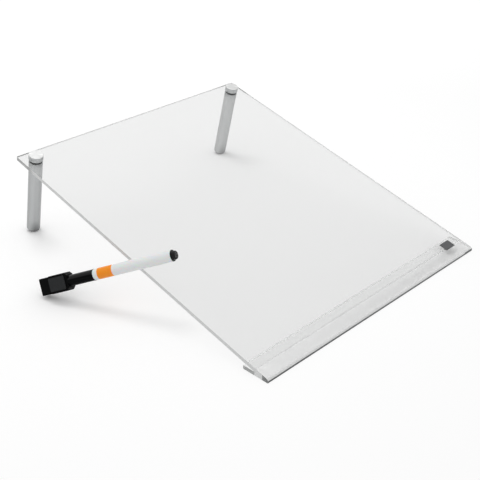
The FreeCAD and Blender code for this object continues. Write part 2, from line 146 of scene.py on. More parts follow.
BOARD_LOW, BOARD_HIGH = extent("writing_panel", BOARD)
LIP_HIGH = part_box("front_lip")[1]
BADGE_LOW, BADGE_HIGH = extent("corner_badge", BOARD)
PAD_LOW, PAD_HIGH = extent("cap_eraser_pad", MARKER)
TUBE = round_size("left_leg_tube", LEGS["left"])
CAP = round_size("left_cap", LEGS["left"])
STUD = round_size("left_stud", LEGS["left"])
SLEEVE = round_size("marker_cap", MARKER_AXIS)
BARREL = round_size("marker_barrel", MARKER_AXIS)
# The face of the cap's block, which the felt pad sits this deep in
PAD_SUNK = 1.4 * MM
BLOCK_FACE = PAD_LOW.z + PAD_SUNK


# What a user may change


def length(name, description, millimetres):
    """A length property, from its default in millimetres."""
    return bpy.props.FloatProperty(
        name=name, description=description, default=millimetres * MM, min=0, precision=5,
        unit="LENGTH", subtype="DISTANCE",
    )


def share(name, description, default):
    """A property from 0 to 1."""
    return bpy.props.FloatProperty(
        name=name, description=description, default=default, min=0, max=1, subtype="FACTOR"
    )


def colour(name, description, default):
    """A colour property."""
    return bpy.props.FloatVectorProperty(
        name=name, description=description, default=default, size=3, min=0, max=1, subtype="COLOR"
    )


class BoardLook(bpy.types.PropertyGroup):
    """The clear board, its lip and its badge."""

    nose_round: length("Nose rounding", "Radius of the front edge under the hand", 2.2)
    nose_depth: length("Nose depth", "How far back the side faces stay glassy from the front", 6.8)
    nose_line: length("Nose line", "Height of the deep tone in the front edge", 2.3)
    corner_round: length("Corner rounding", "Radius of the two rear corners, seen from above", 1.5)
    arris: length("Arris", "Width of the fine bevel along the cut edges", 0.3)
    hole_radius: length("Hole radius", "Radius of the holes that the studs pass through", 3.4)
    tint: colour("Clear tint", "What the thickness of the sheet lets through", (0.846, 0.849, 0.847))
    clearness: share("Clearness", "Share of the sheet that has no haze", 0.965)
    passed: share("Light passed", "How much lamp light each face of the sheet lets through", 0.965)
    # Painted light: the colour of the cut edges seen from inside the sheet, for the light shining through
    # them
    glow: share("Edge glow", "How pale the cut edges are when seen through the sheet", 0.97)
    edge_tone: colour("Edge", "Pale satin of the cut edges", (0.80, 0.81, 0.805))
    # Painted shade: the lip's ends, the nose's side faces and the line along the front edge are the cut
    # edge painted darker, for the shade seen in them
    lip_end_shade: colour("Lip end", "Satin of the lip's cut ends", (0.46, 0.47, 0.465))
    nose_shade: colour("Nose", "Deep tone in the nose's side faces", (0.19, 0.195, 0.195))
    nose_line_shade: colour("Nose line tone", "Dark line along the front edge", (0.055, 0.057, 0.058))
    rubbed_end: length("Rubbed end", "How far back the underside of the front edge is rubbed dull", 5.6)
    # Painted shade: over this length the whole front edge takes the dark line's colour
    line_end: length("Line's end", "Length at the right end where the whole front edge is dark", 14)
    badge_corner: length("Badge corner", "Radius of the badge's corners", 0.5)
    badge_edge: length("Badge edge", "Rounding of the badge's upper edge", 0.15)
    badge_tone: colour("Badge colour", "Dark satin grey of the bare badge", (0.095, 0.098, 0.10))


class LegLook(bpy.types.PropertyGroup):
    """The two legs and what clamps them."""

    metal: colour("Aluminium", "Satin anodised aluminium", (0.505, 0.516, 0.518))
    # Partly painted highlight: the caps' faced tops are bright metal that also stands in for the overhead
    # light
    faced: colour("Faced aluminium", "Bright aluminium of the caps' tops", (0.84, 0.845, 0.84))
    satin: share("Satin", "Roughness of the aluminium", 0.36)
    top_bevel: length("Top bevel", "Bevel at the tube's upper end", 0.5)
    end_round: length("End rounding", "Rounding at the tube's lower end", 1.2)
    cap_bevel: length("Cap bevel", "Bevel round the cap's upper rim", 0.6)
    thread_pitch: length("Thread pitch", "Rise of the stud's thread in one turn", 1.0)
    thread_depth: length("Thread depth", "Depth of the stud's thread", 0.55)


class MarkerLook(bpy.types.PropertyGroup):
    """The board marker with its cap."""

    block_round: length("Block rounding", "Rounding of the cap block's edges", 0.5)
    barrel_tone: colour("Barrel", "White plastic of the barrel", (0.82, 0.83, 0.83))
    black: colour("Black plastic", "Black plastic of the cap and the plug", (0.0022, 0.0024, 0.0026))
    band_tone: colour("Band", "Plain orange band", (1.0, 0.30, 0.006))
    band_start: length("Band start", "Where the band starts, from the cap's end", 67.5)
    band_end: length("Band end", "Where the band ends, from the cap's end", 84.2)
    felt_tone: colour("Felt", "Dark grey felt of the eraser", (0.020, 0.0215, 0.0225))
    fibre_count: bpy.props.IntProperty(
        name="Fibres", description="Loose fibres on the felt", default=1800, min=0, max=6000
    )
    fibre_length: length("Fibre length", "Length of a loose fibre", 0.45)


class StudioLook(bpy.types.PropertyGroup):
    """The floor, the light and the camera."""

    floor_size: length("Floor size", "Side of the pale floor", 16000)
    sky: bpy.props.FloatProperty(
        name="Sky", description="Strength of the even light all round", default=0.78, min=0
    )
    key_power: bpy.props.FloatProperty(
        name="Key light", description="Power of the overhead softbox", default=4.8, min=0, unit="POWER"
    )
    key_size: length("Softbox size", "Side of the overhead softbox", 550)
    lens: bpy.props.FloatProperty(
        name="Lens", description="Focal length of the camera", default=68.02, min=1, unit="CAMERA"
    )


class DeskBoard(bpy.types.PropertyGroup):
    """All settings of the desk board."""

    board: bpy.props.PointerProperty(name="Board", description="The clear board", type=BoardLook)
    legs: bpy.props.PointerProperty(name="Legs", description="The legs", type=LegLook)
    marker: bpy.props.PointerProperty(name="Marker", description="The marker", type=MarkerLook)
    studio: bpy.props.PointerProperty(name="Studio", description="Floor, light and camera", type=StudioLook)


# Outlines and meshes


def rounded(corners, steps=5):
    """A closed outline whose corners, each (across, up, radius), are rounded with that radius."""
    # A rounding takes a little less than half of each side, so that two of them never meet
    sides_shared = 2.01
    outline = []
    for index, (across, up, radius) in enumerate(corners):
        corner = Vector((across, up))
        if radius <= 0:
            outline.append(corner)
            continue
        before = Vector(corners[index - 1][:2]) - corner
        after = Vector(corners[(index + 1) % len(corners)][:2]) - corner
        half = before.angle(after) / 2
        tangent = min(radius / math.tan(half), before.length / sides_shared, after.length / sides_shared)
        reach = tangent * math.tan(half)
        before.normalize()
        after.normalize()
        centre = corner + (before + after).normalized() * (reach / math.sin(half))
        first = corner + before * tangent - centre
        turn = first.angle_signed(corner + after * tangent - centre)
        outline += [centre + Matrix.Rotation(-turn * step / steps, 2) @ first for step in range(steps + 1)]
    return outline


def rectangle(low, high, radius, steps=5, play=0.0):
    """A rounded rectangle's outline between the X and Y of two corners, with some play all round."""
    left, right, near, far = low.x - play, high.x + play, low.y - play, high.y + play
    corners = ((left, near), (right, near), (right, far), (left, far))
    return rounded([(across, up, radius) for across, up in corners], steps)


def mirrored(half_outline):
    """A closed outline from its upper half, given as (x, y, radius) from left to right."""
    return half_outline + [(x, -y, radius) for x, y, radius in reversed(half_outline)]


def turned(outline, steps=96):
    """Turns an outline of (radius, height) points round the Z axis, with a UV map of turns and metres."""
    shape = bmesh.new()
    uv_layer = shape.loops.layers.uv.verify()
    rings = []
    for radius, height in outline:
        turns = [2 * math.pi * step / steps for step in range(steps)] if radius > SAME_PLACE else [0]
        points = [(radius * math.cos(turn), radius * math.sin(turn), height) for turn in turns]
        rings.append([shape.verts.new(point) for point in points])
    travelled = [0.0]
    for here, there in zip(outline, outline[1:] + outline[:1]):
        travelled.append(travelled[-1] + (Vector(there) - Vector(here)).length)
    for span, low in enumerate(rings):
        high = rings[(span + 1) % len(rings)]
        if len(low) == len(high) == 1:
            continue
        for step in range(steps):
            here, after = (step, step), ((step + 1) % steps, step + 1)
            corners = []
            for ring, level, picks in ((low, span, (here, after)), (high, span + 1, (after, here))):
                if len(ring) == 1:
                    corners.append((ring[0], step + 0.5, level))
                else:
                    corners += [(ring[at], turn, level) for at, turn in picks]
            face = shape.faces.new([corner[0] for corner in corners])
            for loop, (_, turn, level) in zip(face.loops, corners):
                loop[uv_layer].uv = (turn / steps, travelled[level])
    return shape


def walled(low_rim, high_rim):
    """A solid between two like rims of points."""
    shape = bmesh.new()
    low = [shape.verts.new(point) for point in low_rim]
    high = [shape.verts.new(point) for point in high_rim]
    shape.faces.new(low[::-1])
    shape.faces.new(high)
    for index in range(len(low)):
        after = (index + 1) % len(low)
        shape.faces.new((low[index], low[after], high[after], high[index]))
    return shape


def raised(outline, low, high):
    """Raises a closed outline of (x, y) points between two heights."""
    return walled(*([(x, y, level) for x, y in outline] for level in (low, high)))


def drawn_out(outline, left, right):
    """Draws a closed outline of (y, z) points out along X."""
    return walled(*([(across, y, z) for y, z in outline] for across in (left, right)))


def bevelled(shape, edges, width, segments=3, clamp=False):
    """Rounds some edges of a shape."""
    ways = {"segments": segments, "profile": 0.5, "affect": "EDGES", "clamp_overlap": clamp}
    bmesh.ops.bevel(shape, geom=edges, offset=width, **ways)
    return shape


def softened(shape, width):
    """Rounds the sharp edges of a raised shape."""
    bmesh.ops.recalc_face_normals(shape, faces=shape.faces)
    shape.normal_update()
    sharp = [edge for edge in shape.edges if edge.calc_face_angle() > math.radians(50)]
    return bevelled(shape, sharp, width)


def crowned(shape, top, width, segments=3):
    """Rounds the upper edges of a raised shape."""
    upper = [edge for edge in shape.edges if all(end.co.z > top - NEAR for end in edge.verts)]
    return bevelled(shape, upper, width, segments)


def made_object(name, shape, place=Matrix()):
    """An object at the origin from a built shape, with its place in its mesh and its faces outwards."""
    bmesh.ops.remove_doubles(shape, verts=shape.verts, dist=SAME_PLACE)
    bmesh.ops.recalc_face_normals(shape, faces=shape.faces)
    mesh = bpy.data.meshes.new(name)
    shape.to_mesh(mesh)
    shape.free()
    mesh.transform(place)
    piece = bpy.data.objects.new(name, mesh)
    bpy.context.scene.collection.objects.link(piece)
    return piece


def settled(piece):
    """Turns the piece's modifiers into its mesh."""
    bpy.context.view_layer.update()
    ready = piece.evaluated_get(bpy.context.evaluated_depsgraph_get())
    mesh = bpy.data.meshes.new_from_object(ready)
    mesh.name = piece.name
    piece.modifiers.clear()
    piece.data = mesh
    return piece


def smoothed(piece):
    """Shades a piece smooth between its sharp edges."""
    piece.data.shade_smooth()
    piece.data.set_sharp_from_angle(angle=SHARP_TURN)
    return piece


def evened(piece):
    """Shades a piece smooth, and keeps its large flat faces flat beside their rounded edges."""
    modifier = smoothed(piece).modifiers.new("even_normals", "WEIGHTED_NORMAL")
    modifier.weight = 100
    modifier.keep_sharp = True
    return settled(piece)


def lathed(name, place, corners, steps=5, around=96):
    """A turned piece from the corners of its outline, each (radius, height, rounding)."""
    return evened(made_object(name, turned(rounded(corners, steps), around), place))


def reshaped(piece, change, *details):
    """Lets a function change the piece's mesh as a shape."""
    shape = bmesh.new()
    shape.from_mesh(piece.data)
    change(shape, *details)
    shape.to_mesh(piece.data)
    shape.free()
    return piece


def welded(shape, reach):
    """Joins points of the shape that lie at one place."""
    bmesh.ops.remove_doubles(shape, verts=shape.verts, dist=reach)


def cut(piece, name, shape, place, operation="DIFFERENCE"):
    """Takes a shape away from a piece, or adds it."""
    tool = made_object(name, shape, place)
    modifier = piece.modifiers.new(name, "BOOLEAN")
    modifier.solver = "EXACT"
    modifier.operation = operation
    modifier.object = tool
    reshaped(settled(piece), welded, WELD)
    bpy.data.objects.remove(tool)


def coated(piece, *finishes):
    """Gives a piece, or a node that stays, its materials."""
    piece.data.materials.clear()
    for finish in finishes:
        piece.data.materials.append(finish)


def hand_over(piece, body, nodes, slot_name, *finishes):
    """Gives the piece its materials, and lets it stand for its nodes and ride on its body."""
    coated(piece, *finishes)
    if nodes:
        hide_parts(*nodes)
    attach(piece, body)


# Node trees


def of_kind(sockets, kind):
    """Those of a node's sockets that hold one kind of value."""
    return [socket for socket in sockets if socket.type == kind]


class Tree:
    """A node tree under construction."""

    def __init__(self, tree):
        self.tree = tree

    def feed(self, socket, value):
        """Links a socket to a node or an output, or sets its constant."""
        if isinstance(value, bpy.types.Node):
            value = value.outputs[0]
        if isinstance(value, bpy.types.NodeSocket):
            self.tree.links.new(value, socket)
        elif socket.type == "RGBA":
            socket.default_value = (*value, 1)
        else:
            socket.default_value = value

    def add(self, kind, sockets=None, **settings):
        """Adds a node with its own settings, and with what its sockets are fed, by name or place."""
        node = self.tree.nodes.new(kind)
        for name, value in settings.items():
            setattr(node, name, value)
        for name, value in (sockets or {}).items():
            self.feed(node.inputs[name], value)
        return node

    def math(self, operation, first, second):
        """A sum of two numbers or outputs."""
        return self.add("ShaderNodeMath", {0: first, 1: second}, operation=operation)

    def between(self, factor, low, high, start=0.3, stop=0.7):
        """Turns a factor that runs from start to stop into a number that runs from low to high."""
        ends = {"From Min": start, "From Max": stop, "To Min": low, "To Max": high}
        return self.add("ShaderNodeMapRange", {"Value": factor, **ends})

    def parts_of(self, vector):
        """The three numbers of a vector."""
        return self.add("ShaderNodeSeparateXYZ", {0: vector}).outputs

    def seen(self):
        """1 for what the camera sees, also mirrored or through the sheet, and 0 for what gives light."""
        path = self.add("ShaderNodeLightPath").outputs
        either = self.math("MAXIMUM", path["Is Camera Ray"], path["Is Glossy Ray"])
        return self.math("MAXIMUM", either, path["Is Transmission Ray"])


class Finish(Tree):
    """A material under construction: one Principled shader and the nodes that feed it."""

    def __init__(self, name, **constants):
        self.material = bpy.data.materials.new(name)
        self.material.use_nodes = True
        super().__init__(self.material.node_tree)
        self.shader = self.tree.nodes["Principled BSDF"]
        self.surface = self.tree.nodes["Material Output"].inputs["Surface"]
        for socket, value in constants.items():
            self.shader.inputs[socket.replace("_", " ")].default_value = value

    def space(self, stretch=(1, 1, 1), kind="Object"):
        """Object or UV coordinates, stretched."""
        coordinates = self.add("ShaderNodeTexCoord").outputs[kind]
        return self.add("ShaderNodeMapping", {"Vector": coordinates, "Scale": stretch})

    def noise(self, scale, stretch=(1, 1, 1), kind="Object", detail=3.0, roughness=0.55):
        """Noise from 0 to 1."""
        grain = {"Scale": scale, "Detail": detail, "Roughness": roughness}
        return self.add("ShaderNodeTexNoise", {"Vector": self.space(stretch, kind), **grain})

    def blend(self, factor, low, high):
        """A colour between two colours, or between the outputs that give them."""
        node = self.add("ShaderNodeMix", {"Factor": factor}, data_type="RGBA")
        for socket, value in zip(of_kind(node.inputs, "RGBA"), (low, high)):
            self.feed(socket, value)
        return of_kind(node.outputs, "RGBA")[0]

    def done(self, tone, roughness, bump=None):
        """The material, with a colour, a roughness and a bump of (height, depth in metres, strength)."""
        self.feed(self.shader.inputs["Base Color"], tone)
        self.feed(self.shader.inputs["Roughness"], roughness)
        if bump is not None:
            tilted = self.add("ShaderNodeBump", dict(zip(("Height", "Distance", "Strength"), bump)))
            self.feed(self.shader.inputs["Normal"], tilted)
        return self.material

    def lit_through(self, passed):
        """The material, which lets a share of the lamp light and bounced light through."""
        path = self.add("ShaderNodeLightPath").outputs
        either = self.math("MAXIMUM", path["Is Shadow Ray"], path["Is Diffuse Ray"])
        clear = self.add("ShaderNodeBsdfTransparent", {"Color": passed})
        self.feed(self.surface, self.add("ShaderNodeMixShader", {0: either, 1: self.shader, 2: clear}))
        return self.material


def node_tree(name, *labels):
    """A geometry tree with the named inputs, and the outputs that bring them in."""
    group = bpy.data.node_groups.new(name, "GeometryNodeTree")
    kinds = {"Geometry": "Geometry", "Seed": "Int", "Material": "Material"}
    for label in ("Geometry", *labels, "Material"):
        socket_type = f"NodeSocket{kinds.get(label, 'Float')}"
        group.interface.new_socket(label, in_out="INPUT", socket_type=socket_type)
    group.interface.new_socket("Geometry", in_out="OUTPUT", socket_type="NodeSocketGeometry")
    tree = Tree(group)
    return tree, tree.add("NodeGroupInput").outputs


def close_tree(tree, given, added):
    """Ends a tree in real geometry with its material: what came in, and what the tree adds."""
    joined = tree.add("GeometryNodeJoinGeometry", {0: given["Geometry"]})
    tree.feed(joined.inputs[0], added)
    real = tree.add("GeometryNodeRealizeInstances", {"Geometry": joined})
    coated_geometry = tree.add("GeometryNodeSetMaterial", {"Geometry": real, "Material": given["Material"]})
    tree.add("NodeGroupOutput", {0: coated_geometry})
    return tree.tree


def thread_tree():
    """A ridge that winds round a stud's core."""
    tree, given = node_tree("stud_thread", "Radius", "Depth", "Turns", "Length", "Base")
    root = tree.math("SUBTRACT", given["Radius"], given["Depth"])
    ends = {"Start Radius": root, "End Radius": root, "Height": given["Length"]}
    spiral = tree.add("GeometryNodeCurveSpiral", {"Resolution": 30, "Rotations": given["Turns"], **ends})
    lift = tree.add("ShaderNodeCombineXYZ", {"Z": given["Base"]})
    placed = tree.add("GeometryNodeTransform", {"Geometry": spiral, "Translation": lift})
    upright = tree.add("GeometryNodeSetCurveNormal", {"Curve": placed}, mode="Z_UP")
    ridge = tree.add("GeometryNodeCurvePrimitiveCircle", {"Resolution": 4, "Radius": given["Depth"]})
    wound = {"Curve": upright, "Profile Curve": ridge, "Fill Caps": True}
    return close_tree(tree, given, tree.add("GeometryNodeCurveToMesh", wound))


def fibre_tree():
    """Short fibres that stand on a pad, each a thin spike with its own tilt and length."""
    inputs = ("Count per area", "Fibre length", "Fibre radius", "Tilt", "Seed")
    tree, given = node_tree("felt_fibres", *inputs)
    spots = tree.add(
        "GeometryNodeDistributePointsOnFaces",
        {"Mesh": given["Geometry"], "Density": given["Count per area"], "Seed": given["Seed"]},
    )
    cone = {"Vertices": 3, "Radius Top": 0, "Radius Bottom": given["Fibre radius"]}
    spike = tree.add("GeometryNodeMeshCone", {**cone, "Depth": given["Fibre length"]})
    back = tree.math("MULTIPLY", given["Tilt"], -1)
    least, most = (tree.add("ShaderNodeCombineXYZ", {"X": end, "Y": end}) for end in (back, given["Tilt"]))
    tilt = tree.add(
        "FunctionNodeRandomValue", {0: least, 1: most, "Seed": given["Seed"]}, data_type="FLOAT_VECTOR"
    )
    swung = tree.add(
        "FunctionNodeRotateEuler",
        {"Rotation": spots.outputs["Rotation"], "Rotate By": tilt},
        rotation_type="EULER",
        space="LOCAL",
    )
    size = tree.add("FunctionNodeRandomValue", {"Seed": given["Seed"]}, data_type="FLOAT")
    shortest, longest = 0.4, 1.2
    for socket, value in zip(of_kind(size.inputs, "VALUE"), (shortest, longest)):
        tree.feed(socket, value)
    scale = of_kind(size.outputs, "VALUE")[0]
    planted = {"Points": spots, "Instance": spike, "Rotation": swung, "Scale": scale}
    return close_tree(tree, given, tree.add("GeometryNodeInstanceOnPoints", planted))


def grown(piece, tree, **values):
    """Runs a tree on a piece with the given inputs, and keeps the result as its mesh."""
    modifier = piece.modifiers.new(tree.name, "NODES")
    modifier.node_group = tree
    for item in tree.interface.items_tree:
        key = item.name.replace(" ", "_")
        if item.item_type == "SOCKET" and item.in_out == "INPUT" and key in values:
            modifier[item.identifier] = values[key]
    return settled(piece)


# Finishes


def shaded(tone, factor):
    """A colour made lighter or darker."""
    return tuple(channel * factor for channel in tone)


def clear_sheet(look, name, refraction, tint, gloss=(0.0, 0.035), dim=0.965, dim_span=(15, 120)):
    """Clear acrylic with a faint haze and wipe marks in its gloss.

    Its tint is dimmer near the nose, a painted shade for the shade under the sheet where it comes down near
    the desk, and clears over dim_span, in millimetres behind the front edge.
    """
    finish = Finish(name, IOR=refraction, Transmission_Weight=look.clearness)
    strokes = finish.noise(3.0, (6, 22, 22), detail=4)
    behind = finish.parts_of(finish.space())[1]
    # Painted shade: the tint is darker in front of dim_span, where the sheet comes down near the desk
    cleared = finish.between(behind, 0, 1, start=dim_span[0] * MM, stop=dim_span[1] * MM)
    tone = finish.blend(cleared, shaded(tint, dim), tint)
    tone = finish.blend(finish.noise(9.0), tone, shaded(tint, 1.006))
    finish.done(tone, finish.between(strokes, *gloss, start=0.45, stop=0.75))
    return finish.lit_through((look.passed,) * 3)


def cut_edge(look, name, tone, clearness):
    """A cut edge, satin from the polishing wheel with its fine lines. It is painted paler when seen from
    inside the sheet, for the light shining through it, and darker right behind a leg, as a painted
    reflection of that leg.
    """
    finish = Finish(name, IOR=ACRYLIC, Transmission_Weight=clearness)
    lines = finish.noise(160.0, (1, 1, 30))
    outside = finish.blend(finish.noise(60.0), shaded(tone, 0.94), shaded(tone, 1.04))
    # Painted light: seen from inside the sheet, the edge takes the pale glow colour, for the light shining
    # through it
    painted_glow = finish.add("ShaderNodeNewGeometry").outputs["Backfacing"]
    tone = finish.blend(painted_glow, outside, (look.glow,) * 3)
    across, behind = finish.parts_of(finish.space())[:2]
    # Painted reflection: the edges right behind the legs are darker, for the legs seen in them
    beside_leg = finish.between(finish.math("ABSOLUTE", across, 0), 0, 0.8, start=137 * MM, stop=146 * MM)
    behind_leg = finish.between(behind, 0, 1, start=324 * MM, stop=331 * MM)
    painted_leg_reflection = finish.math("MULTIPLY", beside_leg, behind_leg)
    tone = finish.blend(painted_leg_reflection, tone, shaded(look.edge_tone, 0.45))
    finish.done(tone, finish.between(lines, 0.28, 0.4), (lines, 0.02 * MM, 0.3))
    return finish.lit_through((look.passed,) * 3)


def badge_satin(look):
    """Dark satin metal with fine lines across its length."""
    finish = Finish("badge_satin", Metallic=0.55)
    lines = finish.noise(260.0, (1, 40, 40), detail=2)
    tone = finish.blend(lines, shaded(look.badge_tone, 0.9), shaded(look.badge_tone, 1.12))
    return finish.done(tone, finish.between(finish.noise(180.0), 0.34, 0.46), (lines, 0.01 * MM, 0.4))


def satin_aluminium(look, name, metal, stretch):
    """Anodised aluminium whose fine lines follow the drawing or the turning of the piece."""
    finish = Finish(name, Metallic=1.0)
    lines = finish.noise(1.0, stretch, "UV")
    bands = finish.noise(1.0, (11, 3, 1), "UV", detail=1)
    tone = finish.blend(lines, shaded(metal, 0.965), shaded(metal, 1.035))
    tone = finish.blend(finish.between(bands, 0, 0.8, start=0.5), tone, shaded(metal, 0.86))
    # The desk's shade on the front of the lower end
    surface = finish.add("ShaderNodeNewGeometry").outputs
    near_desk = finish.between(finish.parts_of(finish.space())[2], 1, 0, start=1 * MM, stop=16 * MM)
    forwards = finish.between(finish.parts_of(surface["Normal"])[1], 0.9, 0, start=-0.9, stop=-0.2)
    tone = finish.blend(finish.math("MULTIPLY", near_desk, forwards), tone, shaded(metal, 0.36))
    # Painted shade: the colour darkens where the surface turns away from the view, towards the outline
    turning = finish.add("ShaderNodeLayerWeight", {"Blend": 0.3}).outputs["Facing"]
    tone = finish.blend(turning, tone, shaded(metal, 0.48))
    worn = finish.between(surface["Pointiness"], 0, 0.6, start=0.52, stop=0.62)
    gloss = finish.between(finish.noise(70.0), look.satin - 0.03, look.satin + 0.04)
    rough = finish.math("ADD", gloss, finish.between(lines, -0.02, 0.02))
    return finish.done(finish.blend(worn, tone, shaded(metal, 1.2)), rough, (lines, 0.006 * MM, 0.5))


def black_rubber():
    """Matt black rubber with a fine grain and pale dust in it."""
    finish = Finish("black_rubber", Specular_IOR_Level=0.3)
    grain = finish.noise(3200.0, detail=2)
    dust = finish.between(finish.noise(420.0), 0, 1, start=0.5, stop=0.8)
    tone = finish.blend(dust, (0.018, 0.018, 0.019), (0.05, 0.05, 0.05))
    return finish.done(tone, finish.between(grain, 0.62, 0.82), (grain, 0.04 * MM, 0.5))


def clear_nylon():
    """Milky clear nylon of the washer under the cap."""
    finish = Finish("clear_nylon", IOR=1.53, Transmission_Weight=0.8)
    cloud = finish.noise(500.0)
    tone = finish.blend(cloud, (0.80, 0.82, 0.82), (0.88, 0.90, 0.90))
    finish.done(tone, finish.between(cloud, 0.2, 0.34))
    return finish.lit_through((0.7, 0.72, 0.72))


def zinc_steel():
    """Zinc plated steel, with the faint colours of its passivation."""
    finish = Finish("zinc_steel", Metallic=1.0)
    tone = finish.blend(finish.noise(260.0), (0.50, 0.52, 0.56), (0.62, 0.60, 0.52))
    return finish.done(tone, finish.between(finish.noise(1500.0), 0.24, 0.42))


def turned_brass():
    """Turned brass with the lathe's rings."""
    finish = Finish("turned_brass", Metallic=1.0)
    rings = finish.noise(220.0, (1, 1, 40))
    tone = finish.blend(rings, (0.52, 0.37, 0.14), (0.66, 0.49, 0.22))
    return finish.done(tone, finish.between(rings, 0.25, 0.4), (rings, 0.01 * MM, 0.5))


def black_plastic(look, name, grain_depth, least_rough, most_rough, gloss=0.2):
    """Moulded black plastic with a fine grain and edges rubbed a little paler."""
    finish = Finish(name, Specular_IOR_Level=gloss)
    grain = finish.noise(2600.0, detail=2)
    pointiness = finish.add("ShaderNodeNewGeometry").outputs["Pointiness"]
    worn = finish.between(pointiness, 0, 0.5, start=0.54, stop=0.66)
    tone = finish.blend(worn, look.black, shaded(look.black, 5.0))
    rough = finish.between(finish.noise(130.0), least_rough, most_rough)
    return finish.done(tone, rough, (grain, grain_depth, 0.6))


def barrel_plastic(look):
    """White barrel plastic, printed with one plain band right round it."""
    depth = {"Subsurface_Weight": 0.3, "Subsurface_Scale": 4 * MM}
    finish = Finish("barrel_plastic", Specular_IOR_Level=0.3, **depth)
    along = finish.parts_of(finish.add("ShaderNodeUVMap", uv_map="along"))[1]
    after_start = finish.math("GREATER_THAN", along, look.band_start)
    before_end = finish.math("LESS_THAN", along, look.band_end)
    printed = finish.math("MULTIPLY", after_start, before_end)
    fine = finish.noise(1800.0, detail=2)
    white = finish.blend(finish.noise(90.0), shaded(look.barrel_tone, 0.985), look.barrel_tone)
    ink = finish.blend(fine, shaded(look.band_tone, 0.96), look.band_tone)
    rough = finish.math("ADD", finish.between(fine, 0.24, 0.32), finish.math("MULTIPLY", printed, 0.06))
    height = finish.math("ADD", printed, finish.math("MULTIPLY", fine, 0.2))
    return finish.done(finish.blend(printed, white, ink), rough, (height, 0.01 * MM, 0.6))


def natural_plastic():
    """Milky plastic of the cap's inner cup."""
    finish = Finish("natural_plastic", Subsurface_Weight=0.2, Subsurface_Scale=1 * MM)
    cloud = finish.noise(300.0)
    tone = finish.blend(cloud, (0.66, 0.67, 0.65), (0.74, 0.75, 0.73))
    return finish.done(tone, finish.between(cloud, 0.35, 0.5))


def eraser_felt(look):
    """Pressed felt: mottled, matt and a little woolly at a glancing angle."""
    finish = Finish("eraser_felt", Sheen_Weight=0.1, Sheen_Roughness=0.6, Specular_IOR_Level=0.1)
    tufts = finish.noise(900.0, detail=5, roughness=0.7)
    wool = finish.blend(tufts, shaded(look.felt_tone, 0.55), shaded(look.felt_tone, 1.5))
    dusted = finish.between(finish.noise(170.0), 0, 0.25, start=0.5, stop=0.8)
    tone = finish.blend(dusted, wool, shaded(look.felt_tone, 2.2))
    return finish.done(tone, 0.95, (tufts, 0.25 * MM, 0.8))


def sheet_magnet():
    """Dark brown flexible magnet with the fine lines of its rolling."""
    finish = Finish("sheet_magnet", Specular_IOR_Level=0.25)
    lines = finish.noise(120.0, (30, 1, 1))
    tone = finish.blend(lines, (0.028, 0.022, 0.018), (0.045, 0.037, 0.032))
    return finish.done(tone, finish.between(lines, 0.55, 0.75), (lines, 0.03 * MM, 0.5))


def ink_fibre(name, tone, most):
    """Bonded fibres soaked with black ink."""
    finish = Finish(name, Specular_IOR_Level=0.3)
    strands = finish.noise(2400.0, detail=4)
    tone = finish.blend(strands, tone, shaded(tone, most))
    return finish.done(tone, finish.between(strands, 0.5, 0.8), (strands, 0.05 * MM, 0.6))


# Operators, one for each piece or group of like pieces


def looks(context):
    """The settings of the scene."""
    return context.scene.desk_board


class PieceOperator:
    """What every piece's operator shares."""

    bl_options = {"REGISTER", "UNDO"}

    @classmethod
    def poll(cls, context):
        return context.scene is not None


